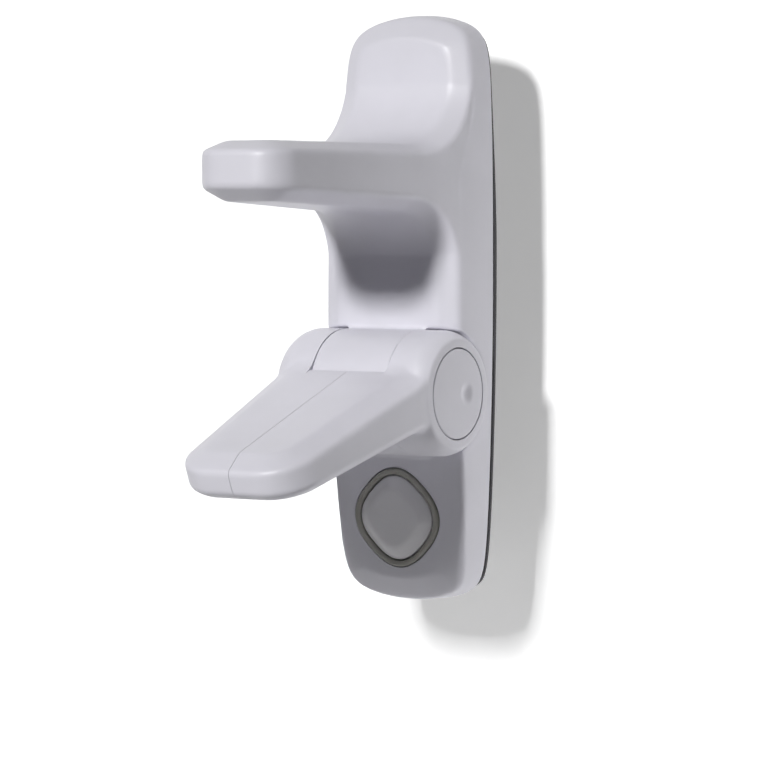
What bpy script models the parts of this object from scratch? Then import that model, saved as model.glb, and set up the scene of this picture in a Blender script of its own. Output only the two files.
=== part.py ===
"""Child-safety lock for a door lever.

A tall body sticks to the door beside the lever. Its fixed upper arm and its hinged lower arm reach
out above and below the lever, so that it can't be pushed down. A sprung latch holds the lower arm
up. Pressing the diamond button frees it, and the arm swings down.

+Z is up, +X is to the right as seen from the room, the door is the plane y = 0, the room is at -Y.
"""
import math

import bmesh
import bpy
from mathutils import Matrix, Vector

MM = 0.001
MERGE = 1e-6

# Fits
FIT = 0.3 * MM                    # gap between pieces that touch
RUNNING_GAP = 0.45 * MM           # gap around the turning knuckles
WALL = 2.2 * MM                   # wall of every moulding
PAST = 3 * MM                     # how far a cutter runs past what it cuts

# Body
HEIGHT = 140 * MM
BODY_HALF_WIDTH = 19.9 * MM       # at its widest level
WIDEST_Z = 12 * MM
SIDE_BOW_RADIUS = 1700 * MM
END_ARCH_RADIUS = 40 * MM
CORNER_SHARPNESS = 4
BOTTOM_DEPTH = 10.7 * MM          # door to front face, at the lower end
MIDDLE_DEPTH = 17.4 * MM          # between the arms
TOP_DEPTH = 10.9 * MM             # above the upper arm
BEVEL_WIDTH = 5.6 * MM            # broad bevel around the front
BEVEL_DROP = 2.3 * MM
SIDE_DRAFT = 0.6 * MM
EDGE_SOFTNESS = 2 * MM
PAD_THICKNESS = 1.2 * MM
PAD_INSET = 0.3 * MM
PLATE_THICKNESS = 2 * MM

# Upper arm, fixed to the body
UPPER_REACH = 79 * MM             # door to tip
UPPER_BELOW_TOP = 31.1 * MM       # upper end of the body down to the arm's top face
UPPER_THICKNESS = 15.6 * MM       # at the root
UPPER_UNDER_RISE = 2.1 * MM       # how much higher the underside is at the tip
UPPER_ROOT_HALF = 19 * MM
UPPER_TIP_HALF = 11.7 * MM
UPPER_CORNER = 7.5 * MM
UNDER_BEVEL_DROP = 2.9 * MM
OVER_BEND_RADIUS = 16 * MM
UNDER_BEND_RADIUS = 13.5 * MM
BEND_TURN = math.radians(88)
BEND_DIP = 0.3 * MM               # how far a bend runs into the face it meets

# Hinge
HINGE_Y = -19.6 * MM
HINGE_ABOVE_END = 50.6 * MM       # lower end of the body up to the hinge axis
BARREL_RADIUS = 14.8 * MM
KNUCKLE_HALF = 21.5 * MM          # middle of the hinge to the outer face of a knuckle
KNUCKLE_LENGTH = 10.75 * MM       # of each of the arm's two knuckles
KNUCKLE_EDGE = 2.5 * MM
POCKET_WALL = 1.9 * MM
CAP_RADIUS = 10.6 * MM
CAP_THICKNESS = 2 * MM
CAP_EDGE = 0.5 * MM
CAP_PROUD = 0.2 * MM
CAP_DIMPLE_RADIUS = 2.8 * MM
CAP_DIMPLE_DEPTH = 0.7 * MM
CAP_DIMPLE_OFFSET = 3.8 * MM      # middle of the cap to the dimple, towards the door
BOLT_RADIUS = 3 * MM
BOLT_HEAD_RADIUS = 5 * MM
BOLT_HEAD_HEIGHT = 3 * MM
NUT_RADIUS = 5.6 * MM             # over the corners
NUT_HEIGHT = 4 * MM
DRUM_RADIUS = 11 * MM
KEY_LENGTH = 17 * MM
KEY_WIDTH = 4 * MM
KEY_DEPTH = 2 * MM
HINGE_STEPS = 44                  # facets around the hinge
BOLT_STEPS = 24
HEX_STEPS = 6

# Lower arm, in its own line: along the arm from the hinge axis, and square to it
ARM_DROOP = math.radians(21.5)
ARM_LENGTH = 62.7 * MM
ARM_TOP = 10.2 * MM               # hinge axis up to the top face
ARM_UNDER = 4.1 * MM              # hinge axis down to the underside at the root
ARM_UNDER_SLOPE = 0.07
ARM_SIDE_STEP = 0.2 * MM          # the arm's sides stand in from the knuckles' outer faces
ARM_STRAIGHT = 22 * MM            # the sides start to draw in here
ARM_TAPER = 5.1 * MM              # how much each side draws in by the tip
ARM_CORNER = 9.5 * MM
ARM_UNDER_BEVEL_WIDTH = 2.6 * MM
ARM_UNDER_BEVEL_DROP = 2 * MM
ARM_TOP_BEND = 8 * MM
ARM_UNDER_BEND = 3 * MM
SEAM = 0.3 * MM
ARM_SCREW_ALONG = (30 * MM, 48 * MM)
ARM_SCREW_UP = 4.4 * MM
TIP_STEPS = 6
BEND_STEPS = 7

# Button and its ring, on the sloping lower front
BUTTON_ABOVE_END = 20.2 * MM      # lower end of the body up to the button's middle
RING_HALF_SIDE = 11 * MM          # the diamond is a square with bowed sides, stood on a corner
RING_SQUARENESS = 2.55            # 2 would make it round
RING_STEPS = 40
RING_BAND = 2.1 * MM
RING_PROUD = 0.5 * MM
RING_SEAT = 1.5 * MM              # depth of the seat in the front face
BUTTON_PROUD = 0.9 * MM
BUTTON_ROUNDING = 0.8 * MM
BUTTON_FLANGE = 0.9 * MM          # how far the flange reaches past the hole
FLANGE_THICKNESS = 1 * MM
PLUNGER_RADIUS = 3 * MM

# Latch
LATCH_Y = -7 * MM                 # middle of the strip
LATCH_THICKNESS = 0.6 * MM
LATCH_WIDTH = 8 * MM
LATCH_BEND = 2 * MM
LATCH_FOOT = 3.8 * MM             # lower end of the body up to the strip's foot
LATCH_SCREW_UP = 6.2 * MM         # lower end of the body up to the strip's screw
NOTCH_BELOW_AXIS = 2.6 * MM
NOTCH_DEPTH = 2 * MM
NOTCH_HEIGHT = 2.4 * MM
SLOT_FRONT_Y = -12 * MM

# Screws
SCREW_RADIUS = 1.25 * MM
SCREW_HEAD_RADIUS = 2.5 * MM
SCREW_HEAD_HEIGHT = 1.3 * MM
SCREW_LENGTH = 7 * MM
ARM_SCREW_LENGTH = 17 * MM
LATCH_SCREW_LENGTH = 3 * MM
BOSS_RADIUS = 2.9 * MM
BOSS_ROOT = 0.4 * MM              # how far a boss runs into the wall it stands on
SCREW_STEPS = 14
TOP_SCREW_X = 10 * MM
TOP_SCREW_FROM_END = 13 * MM
LOW_SCREW_X = 11.6 * MM
LOW_SCREW_FROM_END = 10 * MM

# Values that follow from the ones above
TOP_END = HEIGHT / 2
LOW_END = -HEIGHT / 2
UPPER_TOP_Z = TOP_END - UPPER_BELOW_TOP
UPPER_UNDER_Z = UPPER_TOP_Z - UPPER_THICKNESS
HINGE_Z = LOW_END + HINGE_ABOVE_END
CENTRE_HALF = KNUCKLE_HALF - KNUCKLE_LENGTH - RUNNING_GAP
ARM_ROOT_HALF = KNUCKLE_HALF - ARM_SIDE_STEP
BUTTON_Z = LOW_END + BUTTON_ABOVE_END
LATCH_FOOT_Z = LOW_END + LATCH_FOOT
LATCH_SCREW_Z = LOW_END + LATCH_SCREW_UP
NOTCH_Z = HINGE_Z - NOTCH_BELOW_AXIS
PLATE_SCREWS = ((TOP_SCREW_X, TOP_END - TOP_SCREW_FROM_END), (LOW_SCREW_X, LOW_END + LOW_SCREW_FROM_END))
BACK_DEPTH = PAD_THICKNESS + FIT
PLATE_DEPTH = BACK_DEPTH + PLATE_THICKNESS
SEAT_DEPTH = PLATE_DEPTH + FIT
HINGE = Vector((0, HINGE_Y, HINGE_Z))
POCKET_RADIUS = BARREL_RADIUS + RUNNING_GAP
LEDGE_Z = HINGE_Z + BARREL_RADIUS
KNUCKLE_INNER = CENTRE_HALF + RUNNING_GAP
FRONT_SLOPE = (MIDDLE_DEPTH - BOTTOM_DEPTH) / (LEDGE_Z - LOW_END)
BUTTON_TILT = math.atan(FRONT_SLOPE)
NOTCH_Y = HINGE_Y + math.sqrt(DRUM_RADIUS ** 2 - (NOTCH_Z - HINGE_Z) ** 2)
CAP_SEAT = CAP_THICKNESS + FIT


def start_scene():
    """Empty the scene and make one collection for the parts and one for the cutters."""
    for old in list(bpy.data.objects):
        bpy.data.objects.remove(old, do_unlink=True)
    collections = []
    for name in ("door_lever_lock", "cutters"):
        collection = bpy.data.collections.new(name)
        bpy.context.scene.collection.children.link(collection)
        collections.append(collection)
    return collections


PARTS, CUTTERS = start_scene()


def material(name, colour, roughness, metallic=0.0):
    """Plain finish for a sub-part."""
    finish = bpy.data.materials.new(name)
    finish.use_nodes = True
    shader = finish.node_tree.nodes["Principled BSDF"]
    shader.inputs["Base Color"].default_value = (*colour, 1)
    shader.inputs["Roughness"].default_value = roughness
    shader.inputs["Metallic"].default_value = metallic
    return finish


def frame(origin, z_axis, x_axis=(1, 0, 0)):
    """Placement whose own Z and X point along the given directions."""
    z_axis = Vector(z_axis).normalized()
    x_axis = Vector(x_axis).normalized()
    turn = Matrix((x_axis, z_axis.cross(x_axis), z_axis)).transposed()
    return Matrix.Translation(origin) @ turn.to_4x4()


def new_object(name, bm):
    """Object from a closed bmesh, with its faces pointing out."""
    bmesh.ops.remove_doubles(bm, verts=bm.verts, dist=MERGE)
    bmesh.ops.dissolve_degenerate(bm, edges=bm.edges, dist=MERGE)
    bmesh.ops.triangulate(bm, faces=[face for face in bm.faces if len(face.verts) == 4])
    bmesh.ops.recalc_face_normals(bm, faces=bm.faces)
    mesh = bpy.data.meshes.new(name)
    bm.to_mesh(mesh)
    bm.free()
    made = bpy.data.objects.new(name, mesh)
    PARTS.objects.link(made)
    return made


def box(name, low, high, place=None):
    """Block between two corners of a placement."""
    low, high = Vector(low), Vector(high)
    bm = bmesh.new()
    bmesh.ops.create_cube(bm, size=1)
    size = high - low
    fit = Matrix.Translation((low + high) / 2) @ Matrix.Diagonal((*size, 1))
    bm.transform((place or Matrix()) @ fit)
    return new_object(name, bm)


def made_solid(name, shape, place):
    """Closed mesh object from a profile or a curve, which is then removed."""
    PARTS.objects.link(shape)
    bpy.context.view_layer.update()
    solid = bpy.data.meshes.new_from_object(shape.evaluated_get(bpy.context.evaluated_depsgraph_get()))
    bm = bmesh.new()
    bm.from_mesh(solid)
    bm.transform(place)
    bpy.data.objects.remove(shape, do_unlink=True)
    bpy.data.meshes.remove(solid)
    return new_object(name, bm)


def turned(name, profile, place, steps=HINGE_STEPS):
    """Turned piece from (radius, height) points listed from top to bottom."""
    mesh = bpy.data.meshes.new(name + "_profile")
    points = [(radius, 0, height) for radius, height in profile]
    mesh.from_pydata(points, [(k, k + 1) for k in range(len(points) - 1)], [])
    shape = bpy.data.objects.new(name + "_profile", mesh)
    screw = shape.modifiers.new("turn", "SCREW")
    screw.steps = screw.render_steps = steps
    screw.use_merge_vertices = True
    screw.merge_threshold = MERGE
    return made_solid(name, shape, place)


def slab(name, outlines, low, high, place, rounding=0.0):
    """Flat piece across a placement's own Z, its edges rounded. A second outline is a hole in it."""
    curve = bpy.data.curves.new(name + "_outline", "CURVE")
    curve.dimensions = "2D"
    curve.fill_mode = "BOTH"
    curve.extrude = (high - low) / 2 - rounding
    curve.bevel_depth = rounding
    curve.bevel_resolution = 2
    curve.offset = -rounding
    for outline in outlines:
        spline = curve.splines.new("POLY")
        spline.points.add(len(outline) - 1)
        spline.use_cyclic_u = True
        for point, (x, y) in zip(spline.points, outline):
            point.co = (x, y, 0, 1)
    shape = bpy.data.objects.new(name + "_outline", curve)
    return made_solid(name, shape, place @ Matrix.Translation((0, 0, (low + high) / 2)))


def rod(name, radius, low, high, place, steps=HINGE_STEPS):
    """Plain cylinder along a placement's own Z."""
    return turned(name, [(0, high), (radius, high), (radius, low), (0, low)], place, steps)


def mirrored_loft(name, rings):
    """Closed skin over rings that are given down their right side only."""
    bm = bmesh.new()
    loops = []
    for ring in rings:
        right = [bm.verts.new(point) for point in ring]
        left = [bm.verts.new((-point[0], point[1], point[2])) for point in reversed(ring)]
        loops.append(right + left)
    for one, two in zip(loops, loops[1:]):
        for k in range(len(one)):
            n = (k + 1) % len(one)
            bm.faces.new((one[k], one[n], two[n], two[k]))
    for loop in (loops[0], loops[-1]):
        for k in range(len(loop) // 2 - 1):
            bm.faces.new((loop[k], loop[k + 1], loop[-2 - k], loop[-1 - k]))
    return new_object(name, bm)


def combine(target, others, operation):
    """Cut the others from the target, or join them to it."""
    for other in others:
        change = target.modifiers.new(other.name, "BOOLEAN")
        change.operation = operation
        change.solver = "EXACT"
        change.object = other
        weld = target.modifiers.new(other.name + "_weld", "WELD")
        weld.merge_threshold = MERGE
        other.hide_render = True
        other.display_type = "WIRE"
        PARTS.objects.unlink(other)
        CUTTERS.objects.link(other)


def cut(target, *others):
    combine(target, others, "DIFFERENCE")


def join(target, *others):
    combine(target, others, "UNION")


def finish(piece, look, pivot=None):
    """Give a piece its material, smooth its round faces, and hang it on its joint."""
    piece.data.materials.append(look)
    piece.data.shade_smooth()
    piece.data.set_sharp_from_angle(angle=math.radians(30))
    if pivot:
        piece.data.transform(Matrix.Translation(-pivot.location))
        piece.parent = pivot
    return piece


def soften(before, corner, after, reach):
    """Three points that round off a corner."""
    before, corner, after = Vector(before), Vector(corner), Vector(after)
    start = corner + (before - corner) * min(reach / max((before - corner).length, MERGE), 0.45)
    end = corner + (after - corner) * min(reach / max((after - corner).length, MERGE), 0.45)
    return [start, (start + 2 * corner + end) / 4, end]


def soft_side(points, reach):
    """Right side of a ring with its corners rounded."""
    mirror = Matrix.Diagonal((-1, 1, 1))
    softened = []
    for k, corner in enumerate(points):
        before = points[k - 1] if k else mirror @ Vector(corner)
        after = points[k + 1] if k + 1 < len(points) else mirror @ Vector(corner)
        softened += soften(before, corner, after, reach)
    return softened


def half_width(z):
    """Half the width of the body's front outline at a height."""
    arch = math.sqrt(2 * END_ARCH_RADIUS * max(TOP_END - abs(z), 0))
    if arch < MERGE:
        return 0.0
    side = BODY_HALF_WIDTH - (z - WIDEST_Z) ** 2 / (2 * SIDE_BOW_RADIUS)
    return (side ** -CORNER_SHARPNESS + arch ** -CORNER_SHARPNESS) ** (-1 / CORNER_SHARPNESS)


def body_outline(inset):
    """Right half of the front outline as (x, z), bottom to top, moved inwards by an inset."""
    steps = 34
    levels = [math.sin(math.pi * (k / steps - 0.5)) * TOP_END for k in range(steps + 1)]
    levels = sorted(levels + [LEDGE_Z, UPPER_UNDER_Z])
    points = [(half_width(z), z) for z in levels]
    outline = []
    for k, (x, z) in enumerate(points):
        ahead = points[min(k + 1, len(points) - 1)]
        behind = points[max(k - 1, 0)]
        along = Vector((ahead[0] - behind[0], ahead[1] - behind[1]))
        if k == 0:
            along = Vector((1, 0))
        if k == len(points) - 1:
            along = Vector((-1, 0))
        along.normalize()
        outline.append((max(x - along.y * inset, 0), z + along.x * inset))
    return outline


def front_depth(z):
    """Depth of the body's flat front, door to face, at a height."""
    over_arm = UPPER_TOP_Z + OVER_BEND_RADIUS / 2
    in_arm = (UPPER_TOP_Z + UPPER_UNDER_Z) / 2
    if z < LEDGE_Z:
        return BOTTOM_DEPTH + (z - LOW_END) * FRONT_SLOPE
    if z < in_arm:
        return MIDDLE_DEPTH
    share = min((z - in_arm) / (over_arm - in_arm), 1)
    return MIDDLE_DEPTH + (TOP_DEPTH - MIDDLE_DEPTH) * share


def body_rings(inset, back_y, soft):
    """Rings of the body up its height: flat front, side crease, back edge."""
    rings = []
    lean = math.atan2(BEVEL_DROP, BEVEL_WIDTH - SIDE_DRAFT)
    flat = body_outline(BEVEL_WIDTH + inset * math.tan(lean / 2))
    crease = body_outline(SIDE_DRAFT + inset)
    back = body_outline(inset)
    drop = BEVEL_DROP + inset * math.tan(math.pi / 4 - lean / 2)
    for (fx, fz), (cx, cz), (bx, bz) in zip(flat, crease, back):
        ring = [(fx, inset - front_depth(fz), fz), (cx, drop - front_depth(cz), cz), (bx, back_y, bz)]
        if soft:
            ring = soft_side(ring, EDGE_SOFTNESS)[:6] + ring[2:]
        rings.append(ring)
    return rings


def body_slab(name, inset, low, high):
    """Flat slab in the body's outline, between two depths from the door."""
    right = body_outline(inset)
    outline = right + [(-x, z) for x, z in reversed(right[1:-1])]
    return slab(name, [outline], low, high, frame((0, 0, 0), (0, -1, 0)))


class ArmFace:
    """Top (side 1) or underside (side -1) of an arm, from its tip to the bend at its root."""

    def __init__(self, side, level, slope, bevel_width, bevel_drop):
        self.side = side
        self.level = level
        self.slope = slope
        self.bevel_width = bevel_width
        self.bevel_drop = bevel_drop
        self.bend_start = 0
        self.bend_radius = 0
        self.bend_turn = 0

    def bend(self, start, radius, turn):
        self.bend_start = start
        self.bend_radius = radius
        self.bend_turn = turn
        return self

    def height(self, along):
        return self.level + self.slope * along

    def edge(self, arm, inset, bevelled):
        """Points (x, along, up) of the flat's edge, or of the crease below its bevel."""
        trim = inset + (self.bevel_width if bevelled else 0)
        drop = inset + (0 if bevelled else self.bevel_drop)
        corner = max(arm.corner - trim, MM)
        tip = arm.tip - trim
        points = []
        for step in range(TIP_STEPS + 1):
            turn = math.pi / 2 * step / TIP_STEPS
            along = tip - corner * (1 - math.cos(turn))
            x = arm.half(along) - trim - corner * (1 - math.sin(turn))
            points.append((x, along, self.height(along) - self.side * drop))
        if inset:
            points.append((arm.half(arm.core_end) - trim, arm.core_end,
                           self.height(arm.core_end) - self.side * drop))
            return points
        for step in range(BEND_STEPS + 1):
            turn = self.bend_turn * step / BEND_STEPS
            radius = self.bend_radius + drop
            along = self.bend_start - radius * math.sin(turn)
            up = self.height(self.bend_start) + self.side * (self.bend_radius - radius * math.cos(turn))
            points.append((min(arm.half(along), arm.width_limit(up)) - trim, along, up))
        points.append((points[-1][0], arm.root, points[-1][2]))
        return points


class Arm:
    """A bevelled arm with a rounded tip, in its own line: along, and up square to it."""

    def __init__(self, tip, corner, root, core_end, straight, root_half, tip_half, top, under, place,
                 width_limit):
        self.tip = tip
        self.corner = corner
        self.root = root
        self.core_end = core_end
        self.straight = straight
        self.root_half = root_half
        self.tip_half = tip_half
        self.top = top
        self.under = under
        self.place = place
        self.width_limit = width_limit

    def half(self, along):
        share = max(along - self.straight, 0) / (self.tip - self.straight)
        return self.root_half + (self.tip_half - self.root_half) * share

    def rings(self, inset):
        edges = [
            self.top.edge(self, inset, True),
            self.top.edge(self, inset, False),
            self.under.edge(self, inset, False),
            self.under.edge(self, inset, True),
        ]
        rings = []
        for row in zip(*edges):
            ring = [self.place @ Vector(point) for point in row]
            rings.append(ring if inset else soft_side(ring, EDGE_SOFTNESS))
        return rings


def upper_arm():
    """The fixed arm, measured straight out from the door."""
    bend_start = MIDDLE_DEPTH + UNDER_BEND_RADIUS - BEND_DIP
    slope = UPPER_UNDER_RISE / (UPPER_REACH - bend_start)
    top = ArmFace(1, UPPER_TOP_Z, 0, BEVEL_WIDTH, BEVEL_DROP)
    top.bend(TOP_DEPTH + OVER_BEND_RADIUS - BEND_DIP, OVER_BEND_RADIUS, BEND_TURN)
    under = ArmFace(-1, UPPER_UNDER_Z - slope * bend_start, slope, BEVEL_WIDTH, UNDER_BEVEL_DROP)
    under.bend(bend_start, UNDER_BEND_RADIUS, BEND_TURN)
    place = frame((0, 0, 0), (0, 0, 1), (1, 0, 0)) @ Matrix.Diagonal((1, -1, 1, 1))
    inside = TOP_DEPTH - 2 * WALL

    def within_body(up):
        return half_width(up) - SIDE_DRAFT - BEND_DIP / 4

    return Arm(UPPER_REACH, UPPER_CORNER, inside, inside, MIDDLE_DEPTH - BEVEL_DROP,
               UPPER_ROOT_HALF, UPPER_TIP_HALF, top, under, place, within_body)


def arm_place():
    """Placement of the lower arm's own line: X, along the arm, up square to it."""
    along = Vector((0, -math.cos(ARM_DROOP), -math.sin(ARM_DROOP)))
    up = Vector((0, -math.sin(ARM_DROOP), math.cos(ARM_DROOP)))
    turn = Matrix(((1, 0, 0), along, up)).transposed()
    return Matrix.Translation(HINGE) @ turn.to_4x4()


ARM_PLACE = arm_place()


def lower_arm():
    """The hinged arm. Each face runs into the barrel in a bend that is tangent to both."""
    def bend_to_barrel(face, radius):
        level = abs(face.height(BARREL_RADIUS))
        start = math.sqrt((BARREL_RADIUS + radius) ** 2 - (level + radius) ** 2)
        return face.bend(start, radius, math.asin(start / (BARREL_RADIUS + radius)))

    top = bend_to_barrel(ArmFace(1, ARM_TOP, 0, BEVEL_WIDTH, BEVEL_DROP), ARM_TOP_BEND)
    under = bend_to_barrel(ArmFace(-1, -ARM_UNDER, ARM_UNDER_SLOPE, ARM_UNDER_BEVEL_WIDTH,
                                   ARM_UNDER_BEVEL_DROP), ARM_UNDER_BEND)
    core_end = POCKET_RADIUS + WALL
    return Arm(ARM_LENGTH, ARM_CORNER, 0, core_end, ARM_STRAIGHT, ARM_ROOT_HALF, ARM_ROOT_HALF - ARM_TAPER,
               top, under, ARM_PLACE, lambda up: ARM_ROOT_HALF)


def hinge_frame(side):
    """Placement on the hinge axis with its own Z towards one side."""
    return frame(HINGE, (side, 0, 0), (0, -1, 0))


def button_frame():
    """Placement on the sloping lower front: Y up the face, Z out of it."""
    origin = (0, -front_depth(BUTTON_Z), BUTTON_Z)
    return frame(origin, (0, -math.cos(BUTTON_TILT), -math.sin(BUTTON_TILT)))


BUTTON_PLACE = button_frame()


def diamond(inset):
    """Outline of the ring, a bowed square stood on a corner, moved inwards by an inset."""
    points = []
    for step in range(RING_STEPS):
        turn = 2 * math.pi * step / RING_STEPS
        sides = [math.copysign(abs(part) ** (2 / RING_SQUARENESS), part) * RING_HALF_SIDE
                 for part in (math.cos(turn), math.sin(turn))]
        points.append(Vector((sides[0] - sides[1], sides[0] + sides[1])) / math.sqrt(2))
    outline = []
    for k, point in enumerate(points):
        along = (points[(k + 1) % RING_STEPS] - points[k - 1]).normalized()
        outline.append((point.x - along.y * inset, point.y + along.x * inset))
    return outline


def diamond_slab(name, inset, low, high, rounding=0.0):
    """Diamond between two heights over the lower front."""
    return slab(name, [diamond(inset)], low, high, BUTTON_PLACE, rounding)


def plate_screw_places():
    """Placements of the four plate screws, own Z towards the door."""
    places = []
    for x, z in PLATE_SCREWS:
        for side in (-1, 1):
            places.append(frame((side * x, -BACK_DEPTH, z), (0, 1, 0)))
    return places


def front_housing(look):
    housing = mirrored_loft("front_housing", body_rings(0, -BACK_DEPTH, True))
    arm = upper_arm()
    right = hinge_frame(1)
    join(housing, mirrored_loft("upper_arm_form", arm.rings(0)))
    long = CENTRE_HALF + WALL
    join(housing, rod("centre_knuckle_form", BARREL_RADIUS, -long, long, right))
    for side in (-1, 1):
        cut(housing, rod(f"knuckle_pocket_{side}", POCKET_RADIUS, CENTRE_HALF, KNUCKLE_HALF + PAST,
                         hinge_frame(side)))
    cavity = mirrored_loft("body_cavity", body_rings(WALL, PAST, False))
    cut(cavity, rod("hinge_core", POCKET_RADIUS + POCKET_WALL, -KNUCKLE_HALF, KNUCKLE_HALF, right))
    cut(housing, cavity, mirrored_loft("arm_core", arm.rings(WALL)))
    for number, place in enumerate(plate_screw_places(), 1):
        front = front_depth(place.translation.z) - BACK_DEPTH - WALL + BOSS_ROOT
        join(housing, rod(f"plate_boss_{number}", BOSS_RADIUS, -front, -FIT, place, SCREW_STEPS))
    cut(housing, body_slab("plate_seat", WALL, -PAST, SEAT_DEPTH))
    for number, place in enumerate(plate_screw_places(), 1):
        cut(housing, rod(f"plate_pilot_{number}", SCREW_RADIUS + FIT / 2, -SCREW_LENGTH - FIT, PAST, place,
                         SCREW_STEPS))
    latch_place = frame((0, LATCH_Y, LATCH_SCREW_Z), (0, 1, 0))
    foot = LATCH_THICKNESS / 2 + FIT
    front = front_depth(LATCH_SCREW_Z) + LATCH_Y - WALL + BOSS_ROOT
    join(housing, rod("latch_boss", BOSS_RADIUS, -front, -foot, latch_place, SCREW_STEPS))
    cut(housing, rod("latch_pilot", SCREW_RADIUS + FIT / 2, -foot - LATCH_SCREW_LENGTH, 0, latch_place,
                     SCREW_STEPS))
    cut(housing, diamond_slab("ring_seat", -FIT, -RING_SEAT, PAST))
    cut(housing, diamond_slab("button_hole", RING_BAND, -WALL - PAST, PAST))
    cut(housing, rod("drum_bore", DRUM_RADIUS + FIT, -CENTRE_HALF - PAST, CENTRE_HALF + PAST, right))
    slot = LATCH_WIDTH / 2 + 2 * RUNNING_GAP
    slot_low = HINGE_Z - POCKET_RADIUS - 3 * WALL
    cut(housing, box("latch_slot", (-slot, SLOT_FRONT_Y, slot_low), (slot, FIT - SEAT_DEPTH, HINGE_Z)))
    return finish(housing, look)


def countersunk(name, place, length, grow):
    """Countersunk screw, own Z out of its head, or the hole for one when it is grown."""
    shank = SCREW_RADIUS + grow
    head = SCREW_HEAD_RADIUS + grow
    top = PAST if grow else -FIT / 2
    neck = -SCREW_HEAD_HEIGHT - (0 if grow else FIT / 2)
    profile = [(0, top), (head, top), (head, -FIT / 2), (shank, neck), (shank, -length), (0, -length)]
    return turned(name, profile if grow else profile[:1] + profile[2:], place, SCREW_STEPS)


def pan_head(name, place, length):
    """Pan head screw, seated at its placement's origin, own Z out of its head."""
    top = SCREW_HEAD_HEIGHT
    profile = [(0, top), (SCREW_HEAD_RADIUS * 0.7, top), (SCREW_HEAD_RADIUS, top / 2),
               (SCREW_HEAD_RADIUS, 0), (SCREW_RADIUS, 0), (SCREW_RADIUS, -length), (0, -length)]
    return turned(name, profile, place, SCREW_STEPS)


def back_plate(look):
    plate = body_slab("back_plate", WALL + FIT, BACK_DEPTH, PLATE_DEPTH)
    for number, place in enumerate(plate_screw_places(), 1):
        cut(plate, countersunk(f"plate_hole_{number}", place, PLATE_THICKNESS + PAST, FIT / 2))
    return finish(plate, look)


def adhesive_pad(look):
    return finish(body_slab("adhesive_pad", PAD_INSET, 0, PAD_THICKNESS), look)


def button_bezel(look):
    """Rounded ring in its seat around the button."""
    hole = list(reversed(diamond(RING_BAND)))
    ring = slab("button_bezel", [diamond(0), hole], FIT - RING_SEAT, RING_PROUD, BUTTON_PLACE, RING_BAND / 4)
    return finish(ring, look)


def button(look, pivot):
    """Rounded cap, a flange that keeps it in, and a plunger that meets the latch strip."""
    flange_top = -WALL - FIT
    flange_low = flange_top - FLANGE_THICKNESS
    cap = diamond_slab("button", RING_BAND + FIT, flange_low, BUTTON_PROUD, BUTTON_ROUNDING)
    join(cap, diamond_slab("flange_form", RING_BAND - BUTTON_FLANGE, flange_low, flange_top))
    strip_front = -LATCH_Y + LATCH_THICKNESS / 2
    depth = (front_depth(BUTTON_Z) - strip_front - FIT) / math.cos(BUTTON_TILT) - PLUNGER_RADIUS * FRONT_SLOPE
    join(cap, rod("plunger_form", PLUNGER_RADIUS, -depth, flange_top, BUTTON_PLACE, SCREW_STEPS))
    return finish(cap, look, pivot)


def latch_path():
    """The strip's middle line as (y, z), from its foot up to the hook in the drum's notch."""
    hook_y = NOTCH_Y - NOTCH_DEPTH + FIT + LATCH_THICKNESS / 2
    steps = 3
    points = [(LATCH_Y, LATCH_FOOT_Z)]
    for step in range(steps + 1):
        turn = math.pi / 2 * step / steps
        points.append((LATCH_Y - LATCH_BEND * (1 - math.cos(turn)),
                       NOTCH_Z - LATCH_BEND * (1 - math.sin(turn))))
    points.append((hook_y, NOTCH_Z))
    return points


def latch_spring(look):
    """Steel strip with a hook, a sheet given its thickness."""
    bm = bmesh.new()
    rows = []
    for y, z in latch_path():
        rows.append([bm.verts.new((side * LATCH_WIDTH / 2, y, z)) for side in (-1, 1)])
    for one, two in zip(rows, rows[1:]):
        bm.faces.new((one[0], one[1], two[1], two[0]))
    mesh = bpy.data.meshes.new("latch_spring")
    bm.to_mesh(mesh)
    bm.free()
    strip = bpy.data.objects.new("latch_spring", mesh)
    PARTS.objects.link(strip)
    sheet = strip.modifiers.new("sheet", "SOLIDIFY")
    sheet.thickness = LATCH_THICKNESS
    sheet.offset = 0
    sheet.use_even_offset = True
    place = frame((0, LATCH_Y, LATCH_SCREW_Z), (0, 1, 0))
    cut(strip, rod("latch_hole", SCREW_RADIUS + FIT / 2, -PAST, PAST, place, SCREW_STEPS))
    return finish(strip, look)


def latch_screw(look):
    place = frame((0, LATCH_Y + LATCH_THICKNESS / 2 + FIT, LATCH_SCREW_Z), (0, 1, 0))
    return finish(pan_head("latch_screw", place, LATCH_THICKNESS + 2 * FIT + LATCH_SCREW_LENGTH - FIT), look)


def arm_screw_place(along):
    """Placement on the left wall of the arm, own Z out of the screw's head."""
    seat = -(BOSS_RADIUS + SCREW_HEAD_RADIUS)
    return frame(ARM_PLACE @ Vector((seat, along, ARM_SCREW_UP)), (-1, 0, 0), (0, 0, 1))


def knuckle(name, side):
    """Outer knuckle of one half, rounded at its outer edge."""
    rim = BARREL_RADIUS - KNUCKLE_EDGE
    profile = [(0, KNUCKLE_HALF)]
    for step in range(5):
        turn = math.pi / 2 * step / 4
        profile.append((rim + KNUCKLE_EDGE * math.sin(turn),
                        KNUCKLE_HALF - KNUCKLE_EDGE * (1 - math.cos(turn))))
    profile += [(BARREL_RADIUS, KNUCKLE_INNER - WALL), (0, KNUCKLE_INNER - WALL)]
    return turned(name, profile, hinge_frame(side))


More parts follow.
